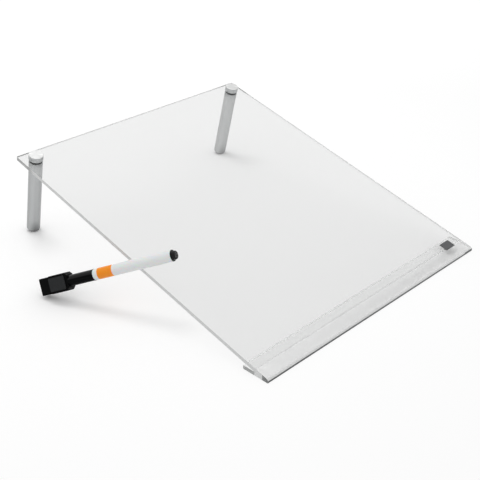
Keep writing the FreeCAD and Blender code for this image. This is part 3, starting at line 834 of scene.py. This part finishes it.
class DESKBOARD_OT_clear_board(PieceOperator, bpy.types.Operator):
    """Makes the clear sheet and the lip bonded under its nose, as one clear body"""

    bl_idname = "desk_board.clear_board"
    bl_label = "Clear board"

    def execute(self, context):
        look = looks(context).board
        slope, normal = BOARD.col[1].to_3d(), BOARD.col[2].to_3d()
        front, nose_top = BOARD.translation.y, BOARD.translation.z
        rear_top = BOARD @ Vector((0, BOARD_HIGH.y, 0))
        rear_low = rear_top + normal * BOARD_LOW.z
        under = Vector((0, front, nose_top)) + normal * BOARD_LOW.z
        meets = under + slope * ((LIP_HIGH.z - under.z) / slope.z)
        corners = [
            (front, nose_top, look.nose_round),
            (front, 0, look.arris),
            (LIP_HIGH.y, 0, look.arris),
            (LIP_HIGH.y, LIP_HIGH.z, look.arris),
            (meets.y, meets.z, 0),
            (rear_low.y, rear_low.z, look.arris),
            (rear_top.y, rear_top.z, look.arris),
        ]
        piece = made_object("clear_board", drawn_out(rounded(corners, 4), BOARD_LOW.x, BOARD_HIGH.x))
        overrun = 20 * MM
        bore = [(0, -overrun), (look.hole_radius, -overrun), (look.hole_radius, overrun), (0, overrun)]
        for side in SIDES:
            cut(piece, f"{side}_stud_hole", turned(bore, 64), LEGS[side])
        for sign in (-1, 1):
            cut(piece, "corner", self.corner_waste(sign, look.corner_round), BOARD)
        reshaped(piece, self.bevel_sides, look.arris)
        nose_end = front + look.nose_depth
        line_from = BOARD_HIGH.x - look.line_end
        for looking, axis, place in (
            ("x", "y", nose_end),
            ("x", "y", meets.y),
            ("y", "z", look.nose_line),
            ("y", "x", line_from),
            ("z", "y", look.rubbed_end),
        ):
            reshaped(piece, self.part, looking, axis, place)
        surfaces = {
            "sheet": clear_sheet(look, "clear_acrylic", ACRYLIC, look.tint),
            "edge": cut_edge(look, "satin_edge", look.edge_tone, 0.2),
            # Painted shade: lip_end, deep_nose and nose_line below are the cut edge painted darker, for the
            # shade seen in the lip's ends and the nose
            "lip_end": cut_edge(look, "lip_end", look.lip_end_shade, 0.3),
            "nose": cut_edge(look, "deep_nose", look.nose_shade, 0.25),
            # Painted light and shade: the lip's faces get a clearer tint than the sheet, so what shows over
            # the lip stays pale, and the rubbed underside is painted darker in front of its dim_span
            "rubbed": clear_sheet(
                look, "rubbed_acrylic", RUBBED_UNDERSIDE, shaded(look.tint, 1.1),
                gloss=(0.3, 0.42), dim=0.84, dim_span=(1.6, 2.6),
            ),
            "line": cut_edge(look, "nose_line", look.nose_line_shade, 0.1),
            "lip": clear_sheet(look, "clear_lip", LIP_UNDERSIDE, shaded(look.tint, 1.175)),
        }
        hand_over(piece, "easel", ["writing_panel", "front_lip"], "clear_acrylic", *surfaces.values())
        places = {surface: index for index, surface in enumerate(surfaces)}
        for face in piece.data.polygons:
            middle, facing = face.center, face.normal
            sideways = abs(facing.x) > 0.9
            backwards = facing.dot(slope) > 0.9
            forwards = facing.y < -0.95
            downwards = facing.z < -0.5
            lip_part = (middle - under).dot(normal) < -0.01 * MM
            rounding = middle.y < front + look.nose_round and facing.z > -0.1
            surface = "sheet"
            at_end = middle.x > line_from
            # Painted shade: the front line, the nose's side faces and the lip's ends take the darker copies
            # of the cut edge
            if forwards and middle.z < look.nose_line or rounding and at_end and not sideways:
                surface = "line"
            elif sideways and middle.y < nose_end:
                surface = "nose"
            elif sideways and middle.y > meets.y and lip_part:
                surface = "lip_end"
            elif sideways or rounding or backwards and not lip_part:
                surface = "edge"
            elif lip_part:
                surface = "rubbed" if downwards and middle.y < look.rubbed_end else "lip"
            face.material_index = places[surface]
        return {"FINISHED"}

    def part(self, shape, looking, axis, place):
        """Parts the faces that look along one axis, at a place on another axis."""
        faces = [face for face in shape.faces if abs(getattr(face.normal, looking)) > 0.98]
        edges = {edge for face in faces for edge in face.edges}
        points = {point for face in faces for point in face.verts}
        across = Vector([float(name == axis) for name in "xyz"])
        plane = {"plane_co": across * place, "plane_no": across}
        bmesh.ops.bisect_plane(shape, geom=[*faces, *edges, *points], dist=SAME_PLACE, **plane)
        welded(shape, NEAR)

    def corner_waste(self, sign, radius):
        """What comes off a rear corner to round it."""
        inner, outer = BOARD_HIGH.x - radius, BOARD_HIGH.x + radius
        near, far = BOARD_HIGH.y - radius, BOARD_HIGH.y + radius
        steps = 8
        angles = [math.pi / 2 * step / steps for step in range(steps + 1)]
        outline = [(inner + math.cos(angle) * radius, near + math.sin(angle) * radius) for angle in angles]
        outline += [(inner, far), (outer, far), (outer, near)]
        return raised([(sign * across, up) for across, up in outline], BOARD_LOW.z * 2, -BOARD_LOW.z)

    def bevel_sides(self, shape, width):
        """Takes the sharpness off the long edges of both sides."""
        limit = BOARD_HIGH.x - 0.01 * MM
        rims = [edge for edge in shape.edges if all(abs(end.co.x) > limit for end in edge.verts)]
        rims = [edge for edge in rims if edge.is_manifold and edge.calc_face_angle(0) > math.radians(40)]
        bevelled(shape, rims, width, segments=2, clamp=True)


class DESKBOARD_OT_badge(PieceOperator, bpy.types.Operator):
    """Makes the bare badge near the front right corner"""

    bl_idname = "desk_board.badge"
    bl_label = "Badge"

    def execute(self, context):
        look = looks(context).board
        outline = rectangle(BADGE_LOW, BADGE_HIGH, look.badge_corner, steps=8)
        shape = crowned(raised(outline, BADGE_LOW.z, BADGE_HIGH.z), BADGE_HIGH.z, look.badge_edge)
        piece = evened(made_object("badge_plate", shape, BOARD))
        hand_over(piece, "easel", ["corner_badge"], "badge_grey", badge_satin(look))
        return {"FINISHED"}


class DESKBOARD_OT_leg_tubes(PieceOperator, bpy.types.Operator):
    """Makes the two aluminium tubes"""

    bl_idname = "desk_board.leg_tubes"
    bl_label = "Leg tubes"

    broken: length("Broken edge", "Rounding of the tube's other edges", 0.15)

    def execute(self, context):
        look = looks(context).legs
        finish = satin_aluminium(look, "drawn_aluminium", look.metal, DRAWN)
        low, high, outer, bore = TUBE
        outline = [
            (bore, low, self.broken),
            (outer, low, look.end_round),
            (outer, high - look.top_bevel, self.broken),
            (outer - look.top_bevel, high, self.broken),
            (bore, high, self.broken),
        ]
        for side in SIDES:
            piece = lathed(f"{side}_tube", LEGS[side], outline)
            hand_over(piece, "easel", [f"{side}_leg_tube"], "satin_aluminium", finish)
        return {"FINISHED"}


class DESKBOARD_OT_feet(PieceOperator, bpy.types.Operator):
    """Makes the rubber feet with the plugs that hold them in the tubes"""

    bl_idname = "desk_board.feet"
    bl_label = "Rubber feet"

    sole_round: length("Sole rounding", "Rounding of the foot's edge on the desk", 0.5)
    rim_round: length("Rim rounding", "Rounding of the foot's edge under the tube", 0.2)
    plug_round: length("Plug rounding", "Rounding of the plug's upper end", 0.6)

    def execute(self, context):
        finish = black_rubber()
        end, plug = TUBE.low, TUBE.bore - PLAY
        for side in SIDES:
            low, high, outer, _ = round_size(f"{side}_foot", LEGS[side])
            outline = [
                (0, low, 0),
                (outer, low, self.sole_round),
                (outer, end, self.rim_round),
                (plug, end, 0),
                (plug, high, self.plug_round),
                (0, high, 0),
            ]
            piece = lathed(f"{side}_rubber_foot", LEGS[side], outline)
            hand_over(piece, "easel", [f"{side}_foot"], "black_rubber", finish)
        return {"FINISHED"}


class DESKBOARD_OT_washers(PieceOperator, bpy.types.Operator):
    """Makes the black washers under the board and the clear ones under the caps"""

    bl_idname = "desk_board.washers"
    bl_label = "Washers"

    edge_round: length("Edge rounding", "Rounding of the washers' edges", 0.2)

    def execute(self, context):
        rubber, nylon = black_rubber(), clear_nylon()
        for side in SIDES:
            kinds = (
                (f"{side}_panel_washer", "easel", "black_rubber", rubber),
                (f"{side}_cap_washer", f"{side}_cap_seat", "clear_nylon", nylon),
            )
            for node, body, slot_name, finish in kinds:
                low, high, outer, bore = round_size(node, LEGS[side])
                ring = [(bore, low), (outer, low), (outer, high), (bore, high)]
                outline = [(radius, height, self.edge_round) for radius, height in ring]
                piece = lathed(f"{node}_ring", LEGS[side], outline, steps=4)
                hand_over(piece, body, [node], slot_name, finish)
        return {"FINISHED"}


class DESKBOARD_OT_caps(PieceOperator, bpy.types.Operator):
    """Makes the round caps that clamp the board to the legs"""

    bl_idname = "desk_board.caps"
    bl_label = "Caps"

    bore_round: length("Bore rounding", "Rounding of the threaded bore's mouth", 0.1)
    foot_round: length("Foot rounding", "Rounding of the cap's lower edge", 0.25)
    rim_round: length("Rim rounding", "Rounding of the bevel's two edges", 0.12)

    def execute(self, context):
        look = looks(context).legs
        # Partly painted light: the sides are the tubes' aluminium painted 1.2 times lighter, and the upward
        # faces a bright faced aluminium that also stands in for the overhead light's highlight
        sides = satin_aluminium(look, "turned_aluminium", shaded(look.metal, 1.2), LATHED)
        faced = satin_aluminium(look, "faced_aluminium", look.faced, LATHED)
        low, high, outer, bore = CAP
        bore_end = STUD.high + PLAY
        outline = [
            (0, bore_end, 0),
            (bore, bore_end, 0),
            (bore, low, self.bore_round),
            (outer, low, self.foot_round),
            (outer, high - look.cap_bevel, self.rim_round),
            (outer - look.cap_bevel, high, self.rim_round),
            (0, high, 0),
        ]
        for side in SIDES:
            piece = lathed(f"{side}_cap_nut", LEGS[side], outline)
            hand_over(piece, f"{side}_cap_screw", [f"{side}_cap"], "satin_aluminium", sides, faced)
            upwards = LEGS[side].col[2].to_3d()
            for face in piece.data.polygons:
                face.material_index = int(face.normal.dot(upwards) > 0.5)
        return {"FINISHED"}


class DESKBOARD_OT_studs(PieceOperator, bpy.types.Operator):
    """Makes the threaded studs that run from the caps into the legs"""

    bl_idname = "desk_board.studs"
    bl_label = "Threaded studs"

    def execute(self, context):
        look = looks(context).legs
        finish = zinc_steel()
        tree = thread_tree()
        low, high, outer, _ = STUD
        end = look.thread_depth
        root = outer - end
        core = [(0, low), (root - end, low), (root, low + end)]
        core += [(root, high - end), (root - end, high), (0, high)]
        threaded = high - low - 2 * look.thread_pitch
        for side in SIDES:
            piece = grown(
                smoothed(made_object(f"{side}_threaded_stud", turned(core, 48))),
                tree,
                Radius=outer,
                Depth=look.thread_depth,
                Turns=threaded / look.thread_pitch,
                Length=threaded,
                Base=low + look.thread_pitch,
                Material=finish,
            )
            piece.data.transform(LEGS[side])
            hand_over(piece, f"{side}_cap_screw", [f"{side}_stud"], "zinc_steel", finish)
        return {"FINISHED"}


class DESKBOARD_OT_inserts(PieceOperator, bpy.types.Operator):
    """Finishes the brass bushes inside the tubes"""

    bl_idname = "desk_board.inserts"
    bl_label = "Leg inserts"

    def execute(self, context):
        finish = turned_brass()
        for side in SIDES:
            coated(frame["nodes"][f"{side}_leg_insert"], finish)
        return {"FINISHED"}


class DESKBOARD_OT_marker_cap(PieceOperator, bpy.types.Operator):
    """Makes the marker's cap: a round sleeve with a flat block at its closed end"""

    bl_idname = "desk_board.marker_cap"
    bl_label = "Marker cap"

    block_end: length("Block end", "Where the wide block ends, from the cap's end", 31.2)
    block_corner: length("Block corner", "Radius of the block's corners beside the sleeve", 0.6)
    ramp: length("Block ramp", "How far the block's end runs down to the sleeve", 2.6)
    heel: length("Heel", "Length of the narrow heel", 12.4)
    heel_width: length("Heel width", "Width of the heel", 17.2)
    heel_step: length("Heel step", "How far the heel lies below the block's face", 1.9)
    heel_corner: length("Heel corner", "Radius of the corners at the heel and where the block widens", 0.8)
    heel_overlap: length("Heel overlap", "How far the heel runs into the block", 3)
    seat_corner: length("Seat corner", "Radius of the corners of the pad's and the magnet's seats", 1)
    sleeve_root: length("Bore depth", "Where the sleeve's bore ends, from the cap's end", 33)
    root_round: length("Bore rounding", "Rounding at the bottom of the sleeve's bore", 0.4)
    bore: length("Bore radius", "Radius of the sleeve's bore", 4.6)
    sleeve_overlap: length("Sleeve overlap", "How far the sleeve runs into the block", 2)
    flare: length("Flare", "How far the sleeve's mouth stands out", 0.2)
    flare_length: length("Flare length", "Length of the flare at the sleeve's mouth", 1.5)
    rim_length: length("Rim length", "Length of the straight rim that ends the flare", 0.3)
    mouth_round: length("Mouth rounding", "Rounding inside and behind the sleeve's rim", 0.2)
    rim_round: length("Rim rounding", "Rounding of the rim's outer edge", 0.15)

    def execute(self, context):
        look = looks(context).marker
        low, high = extent("marker_cap", MARKER)
        half, back = high.y, low.z
        block_outline = [
            (self.heel, half, self.heel_corner),
            (self.block_end, half, self.block_corner),
            (self.block_end + self.ramp, half - self.ramp, self.block_corner),
        ]
        # The block's back lies a hair inside the heel's, so that the two faces never fall together
        hair = 0.005 * MM
        block = raised(rounded(mirrored(block_outline), 4), back + hair, BLOCK_FACE)
        piece = made_object("marker_cap_block", softened(block, look.block_round), MARKER)
        heel_half = self.heel_width / 2
        heel_outline = [(0, heel_half, self.heel_corner), (self.heel + self.heel_overlap, heel_half, 0)]
        heel = raised(rounded(mirrored(heel_outline), 4), back, BLOCK_FACE - self.heel_step)
        cut(piece, "heel", softened(heel, look.block_round), MARKER, "UNION")
        magnet_low, magnet_high = extent("cap_magnet", MARKER)
        overrun = 1 * MM
        pad_seat = (PAD_LOW, PAD_HIGH, PAD_LOW.z, BLOCK_FACE + overrun)
        magnet_seat = (magnet_low, magnet_high, back - overrun, magnet_high.z + PLAY)
        for seat_low, seat_high, bottom, top in (pad_seat, magnet_seat):
            seat = rectangle(seat_low, seat_high, self.seat_corner, play=PLAY)
            cut(piece, "seat", raised(seat, bottom, top), MARKER)
        evened(piece)
        sleeve = lathed("marker_cap_sleeve", MARKER_AXIS, self.sleeve_corners(high.x))
        grained = black_plastic(look, "grained_black", 0.02 * MM, 0.34, 0.46, 0.04)
        glossy = black_plastic(look, "glossy_black", 0.004 * MM, 0.18, 0.24, 0.16)
        # Painted shade: a copy of the black with less gloss, for the sleeve's lower half
        dull = black_plastic(look, "rubbed_black", 0.004 * MM, 0.3, 0.4, 0.03)
        hand_over(piece, "marker_cap_group", ["marker_cap"], "black_plastic", grained)
        hand_over(sleeve, "marker_cap_group", [], "black_plastic", glossy, dull)
        # Painted shade: faces that turn down get the less glossy black, so the lower half reads darker, for
        # the darkness it reflects
        for face in sleeve.data.polygons:
            face.material_index = int(face.normal.z < 0.56)
        return {"FINISHED"}

    def sleeve_corners(self, mouth):
        """The sleeve's outline, from inside the block out to the mouth and back to the bore's bottom."""
        start, outer = self.block_end - self.sleeve_overlap, BARREL.outer
        return [
            (0, start, 0),
            (outer, start, 0),
            (outer, mouth - self.flare_length, self.flare_length),
            (outer + self.flare, mouth - self.rim_length, self.mouth_round),
            (outer + self.flare, mouth, self.rim_round),
            (self.bore, mouth, self.mouth_round),
            (self.bore, self.sleeve_root, self.root_round),
            (0, self.sleeve_root, 0),
        ]


class DESKBOARD_OT_eraser(PieceOperator, bpy.types.Operator):
    """Makes the felt pad in the cap's block, with its loose fibres"""

    bl_idname = "desk_board.eraser"
    bl_label = "Felt eraser"

    corner: length("Corner", "Radius of the pad's corners", 1)
    edge_round: length("Edge rounding", "Rounding of the pad's upper edge", 0.5)
    fibre_radius: length("Fibre radius", "Radius of a loose fibre at its root", 0.03)

    def execute(self, context):
        look = looks(context).marker
        finish = eraser_felt(look)
        outline = rectangle(PAD_LOW, PAD_HIGH, self.corner, steps=6)
        shape = crowned(raised(outline, PAD_LOW.z, PAD_HIGH.z), PAD_HIGH.z, self.edge_round, segments=4)
        span = PAD_HIGH - PAD_LOW
        area = 2 * span.x * span.y + 2 * (span.x + span.y) * span.z
        piece = grown(
            evened(made_object("felt_eraser", shape)),
            fibre_tree(),
            Count_per_area=look.fibre_count / area,
            Fibre_length=look.fibre_length,
            Fibre_radius=self.fibre_radius,
            Tilt=math.radians(65),
            Seed=7,
            Material=finish,
        )
        self.trim(piece)
        piece.data.transform(MARKER)
        hand_over(piece, "marker_cap_group", ["cap_eraser_pad"], "eraser_felt", finish)
        return {"FINISHED"}

    def trim(self, piece):
        """Presses fibres that grew below the pad's exposed part back to its sides."""
        exposed = BLOCK_FACE + 0.1 * MM
        for vertex in piece.data.vertices:
            if vertex.co.z < exposed:
                vertex.co.x = min(max(vertex.co.x, PAD_LOW.x), PAD_HIGH.x)
                vertex.co.y = min(max(vertex.co.y, PAD_LOW.y), PAD_HIGH.y)
                vertex.co.z = max(vertex.co.z, PAD_LOW.z)


class DESKBOARD_OT_cap_insides(PieceOperator, bpy.types.Operator):
    """Makes the cap's inner cup and finishes the magnet in the block's back"""

    bl_idname = "desk_board.cap_insides"
    bl_label = "Cap liner and magnet"

    wall: length("Liner wall", "Wall of the inner cup", 0.8)
    floor: length("Liner floor", "Floor of the inner cup", 0.95)
    rounding: length("Liner rounding", "Rounding of the inner cup's corners", 0.3)
    mouth_round: length("Mouth rounding", "Rounding of the inner cup's outer rim", 0.2)

    def execute(self, context):
        low, high, outer, _ = round_size("cap_inner_liner", MARKER_AXIS)
        outline = [
            (0, low, 0),
            (outer, low, self.rounding),
            (outer, high, self.mouth_round),
            (outer - self.wall, high, self.rounding),
            (outer - self.wall, low + self.floor, self.rounding),
            (0, low + self.floor, 0),
        ]
        piece = lathed("cap_liner_cup", MARKER_AXIS, outline)
        hand_over(piece, "marker_cap_group", ["cap_inner_liner"], "liner_plastic", natural_plastic())
        coated(frame["nodes"]["cap_magnet"], sheet_magnet())
        return {"FINISHED"}


class DESKBOARD_OT_barrel(PieceOperator, bpy.types.Operator):
    """Makes the white barrel with its neck and its plain band"""

    bl_idname = "desk_board.barrel"
    bl_label = "Marker barrel"

    neck_radius: length("Neck radius", "Radius of the neck that the cap slides over", 4.52)
    cap_gap: length("Cap gap", "Gap between the cap's mouth and the barrel's shoulder", 0.08)
    neck_round: length("Neck rounding", "Rounding of the neck's end", 0.3)
    shoulder_round: length("Shoulder rounding", "Rounding of the shoulder beside the cap", 0.25)
    end_round: length("End rounding", "Rounding of the barrel's end under the plug", 0.12)
    bore_round: length("Bore rounding", "Rounding of the bore's two mouths", 0.1)

    def execute(self, context):
        low, high, outer, bore = BARREL
        shoulder = SLEEVE.high + self.cap_gap
        outline = [
            (bore, low, self.bore_round),
            (self.neck_radius, low, self.neck_round),
            (self.neck_radius, shoulder, 0),
            (outer, shoulder, self.shoulder_round),
            (outer, high, self.end_round),
            (bore, high, self.bore_round),
        ]
        shape = turned(rounded(outline))
        layer = shape.loops.layers.uv.active
        for face in shape.faces:
            for loop in face.loops:
                loop[layer].uv = (loop[layer].uv.x, loop.vert.co.z)
        piece = evened(made_object("barrel_tube", shape, MARKER_AXIS))
        piece.data.uv_layers[0].name = "along"
        finish = barrel_plastic(looks(context).marker)
        hand_over(piece, "marker_pen_group", ["marker_barrel"], "white_plastic", finish)
        return {"FINISHED"}


class DESKBOARD_OT_end_plug(PieceOperator, bpy.types.Operator):
    """Makes the black plug in the barrel's end"""

    bl_idname = "desk_board.end_plug"
    bl_label = "End plug"

    flange: length("Flange", "Thickness of the flange on the barrel's end", 0.7)
    flange_round: length("Flange rounding", "Rounding of the flange's outer edge", 0.25)
    seat_round: length("Seat rounding", "Rounding of the flange's edge on the barrel", 0.12)
    boss_radius: length("Boss radius", "Radius of the boss outside", 4.2)
    boss_root: length("Boss root", "Rounding where the boss leaves the flange", 0.8)
    boss_round: length("Boss rounding", "Rounding of the boss's end", 0.9)
    stem_length: length("Stem", "Length of the stem inside the barrel", 8)
    stem_round: length("Stem rounding", "Rounding of the stem's end", 0.5)

    def execute(self, context):
        seat, stem, outer = BARREL.high, BARREL.bore - PLAY, BARREL.outer
        step, high = seat + self.flange, round_size("marker_end_plug", MARKER_AXIS).high
        outline = [
            (0, seat - self.stem_length, 0),
            (stem, seat - self.stem_length, self.stem_round),
            (stem, seat, 0),
            (outer, seat, self.seat_round),
            (outer, step, self.flange_round),
            (self.boss_radius, step, self.boss_root),
            (self.boss_radius, high, self.boss_round),
            (0, high, 0),
        ]
        piece = lathed("end_plug", MARKER_AXIS, outline, steps=6)
        finish = black_plastic(looks(context).marker, "plug_black", 0.006 * MM, 0.16, 0.26)
        hand_over(piece, "marker_pen_group", ["marker_end_plug"], "black_plastic", finish)
        return {"FINISHED"}


class DESKBOARD_OT_nib(PieceOperator, bpy.types.Operator):
    """Makes the nib and its holder, and finishes the ink reservoir"""

    bl_idname = "desk_board.nib"
    bl_label = "Nib and holder"

    tip_radius: length("Holder tip", "Radius of the holder at its tip", 2.2)
    tip_round: length("Tip rounding", "Rounding of the holder's tip", 0.5)
    nose_radius: length("Holder nose", "Radius of the holder behind its taper", 3.1)
    nose_round: length("Nose rounding", "Rounding where the taper ends", 1.5)
    stem_round: length("Stem rounding", "Rounding of the holder's end in the barrel", 0.3)
    edge_round: length("Edge rounding", "Rounding of the holder's other edges", 0.1)
    nib_round: length("Nib rounding", "Rounding of the nib's tip", 1.1)

    def execute(self, context):
        low, high, stem, bore = round_size("marker_nib_holder", MARKER_AXIS)
        neck = BARREL.low
        outline = [
            (bore, low, self.edge_round),
            (self.tip_radius, low, self.tip_round),
            (self.nose_radius, (low + neck) / 2, self.nose_round),
            (self.nose_radius, neck, self.edge_round),
            (stem, neck, 0),
            (stem, high, self.stem_round),
            (bore, high, self.edge_round),
        ]
        holder = lathed("nib_holder_nose", MARKER_AXIS, outline)
        finish = black_plastic(looks(context).marker, "holder_black", 0.006 * MM, 0.2, 0.3)
        hand_over(holder, "marker_pen_group", ["marker_nib_holder"], "black_plastic", finish)
        low, high, radius, _ = round_size("marker_nib", MARKER_AXIS)
        bullet = [(0, low, 0), (radius, low, self.nib_round), (radius, high, 0), (0, high, 0)]
        nib = lathed("bullet_nib", MARKER_AXIS, bullet, steps=8, around=48)
        finish = ink_fibre("nib_felt", (0.012, 0.012, 0.013), 3.0)
        hand_over(nib, "marker_pen_group", ["marker_nib"], "nib_fibre", finish)
        coated(frame["nodes"]["marker_reservoir"], ink_fibre("reservoir_fibre", (0.02, 0.02, 0.022), 2.0))
        return {"FINISHED"}


class DESKBOARD_OT_studio(PieceOperator, bpy.types.Operator):
    """Sets out the pale floor, the soft light and the camera"""

    bl_idname = "desk_board.studio"
    bl_label = "Studio"

    def execute(self, context):
        look = looks(context).studio
        self.lay_floor(look)
        self.hang_lights(look)
        self.set_camera(look)
        context.scene.view_settings.view_transform = "Standard"
        return {"FINISHED"}

    def lay_floor(self, look):
        """One pale sheet under the object, which shows white where no shadow falls on it."""
        half, level = look.floor_size / 2, -0.3 * MM
        shape = bmesh.new()
        corners = ((-half, -half), (half, -half), (half, half), (-half, half))
        shape.faces.new([shape.verts.new((across, up, level)) for across, up in corners])
        floor = made_object("studio_floor", shape)
        finish = Finish("pale_floor")
        away = finish.add("ShaderNodeVectorMath", {0: finish.space()}, operation="LENGTH").outputs["Value"]
        # What the camera sees is brighter far off, where the softbox lights it less
        near_tone, far_tone, near_end, far_start = 1.07, 1.32, 0.6, 2.2
        shown = finish.between(away, near_tone, far_tone, near_end, far_start)
        tone = finish.blend(finish.seen(), (0.8, 0.8, 0.8), shown)
        finish.feed(finish.surface, finish.add("ShaderNodeBsdfDiffuse", {"Color": tone}))
        finish.tree.nodes.remove(finish.shader)
        floor.data.materials.append(finish.material)

    def hang_lights(self, look):
        """Even light from all round, and one softbox overhead, a little behind the object."""
        world = bpy.data.worlds.new("studio_light")
        world.use_nodes = True
        tree = Tree(world.node_tree)
        backdrop = world.node_tree.nodes["Background"].inputs
        tree.feed(backdrop["Color"], (1, 1, 1))
        tree.feed(backdrop["Strength"], tree.between(tree.seen(), look.sky, 1, start=0, stop=1))
        bpy.context.scene.world = world
        lamp = bpy.data.lights.new("overhead_softbox", "AREA")
        lamp.energy = look.key_power
        lamp.size = look.key_size
        key = bpy.data.objects.new("overhead_softbox", lamp)
        middle = Vector((0, 0.2, 0))
        key.location = middle + Vector((0.04, 0.50, 1.55))
        key.rotation_euler = (middle - key.location).to_track_quat("-Z", "Y").to_euler()
        bpy.context.scene.collection.objects.link(key)

    def set_camera(self, look):
        """Looks down at the board from the front left, as the photograph does."""
        camera = bpy.data.cameras.new("camera")
        camera.lens = look.lens
        camera.sensor_width = 36
        camera.clip_start, camera.clip_end = 0.05, 60
        eye = bpy.data.objects.new("camera", camera)
        rightwards = Vector((0.70645, -0.70776, -0.00273))
        downwards = Vector((-0.35151, -0.34751, -0.8693))
        forwards = Vector((0.6143, 0.61508, -0.49428))
        eye.matrix_world = Matrix((rightwards, -downwards, -forwards)).transposed().to_4x4()
        eye.location = (-0.61409, -0.4362, 0.49465)
        bpy.context.scene.collection.objects.link(eye)
        bpy.context.scene.camera = eye


OPERATORS = (
    DESKBOARD_OT_clear_board,
    DESKBOARD_OT_badge,
    DESKBOARD_OT_leg_tubes,
    DESKBOARD_OT_feet,
    DESKBOARD_OT_washers,
    DESKBOARD_OT_caps,
    DESKBOARD_OT_studs,
    DESKBOARD_OT_inserts,
    DESKBOARD_OT_marker_cap,
    DESKBOARD_OT_eraser,
    DESKBOARD_OT_cap_insides,
    DESKBOARD_OT_barrel,
    DESKBOARD_OT_end_plug,
    DESKBOARD_OT_nib,
    DESKBOARD_OT_studio,
)


class DESKBOARD_PT_maker(bpy.types.Panel):
    """Lists the settings and the pieces of the desk board"""

    bl_idname = "DESKBOARD_PT_maker"
    bl_label = "Desk board"
    bl_space_type = "VIEW_3D"
    bl_region_type = "UI"
    bl_category = "Desk board"

    def draw(self, context):
        settings = looks(context)
        for group in ("board", "legs", "marker", "studio"):
            box = self.layout.box()
            look = getattr(settings, group)
            box.label(text=settings.bl_rna.properties[group].name)
            for name in look.__annotations__:
                box.prop(look, name)
        column = self.layout.column(align=True)
        for operator in OPERATORS:
            column.operator(operator.bl_idname)


CLASSES = (BoardLook, LegLook, MarkerLook, StudioLook, DeskBoard, *OPERATORS, DESKBOARD_PT_maker)


def register():
    """Makes the settings, the operators and the panel known."""
    for each in CLASSES:
        bpy.utils.register_class(each)
    bpy.types.Scene.desk_board = bpy.props.PointerProperty(
        name="Desk board", description="Settings of the desk board", type=DeskBoard
    )


def unregister():
    """Takes them away again."""
    del bpy.types.Scene.desk_board
    for each in reversed(CLASSES):
        bpy.utils.unregister_class(each)


def main():
    """Makes every piece and the stage."""
    register()
    for operator in OPERATORS:
        group, name = operator.bl_idname.split(".")
        getattr(getattr(bpy.ops, group), name)()


if __name__ == "__main__":
    main()
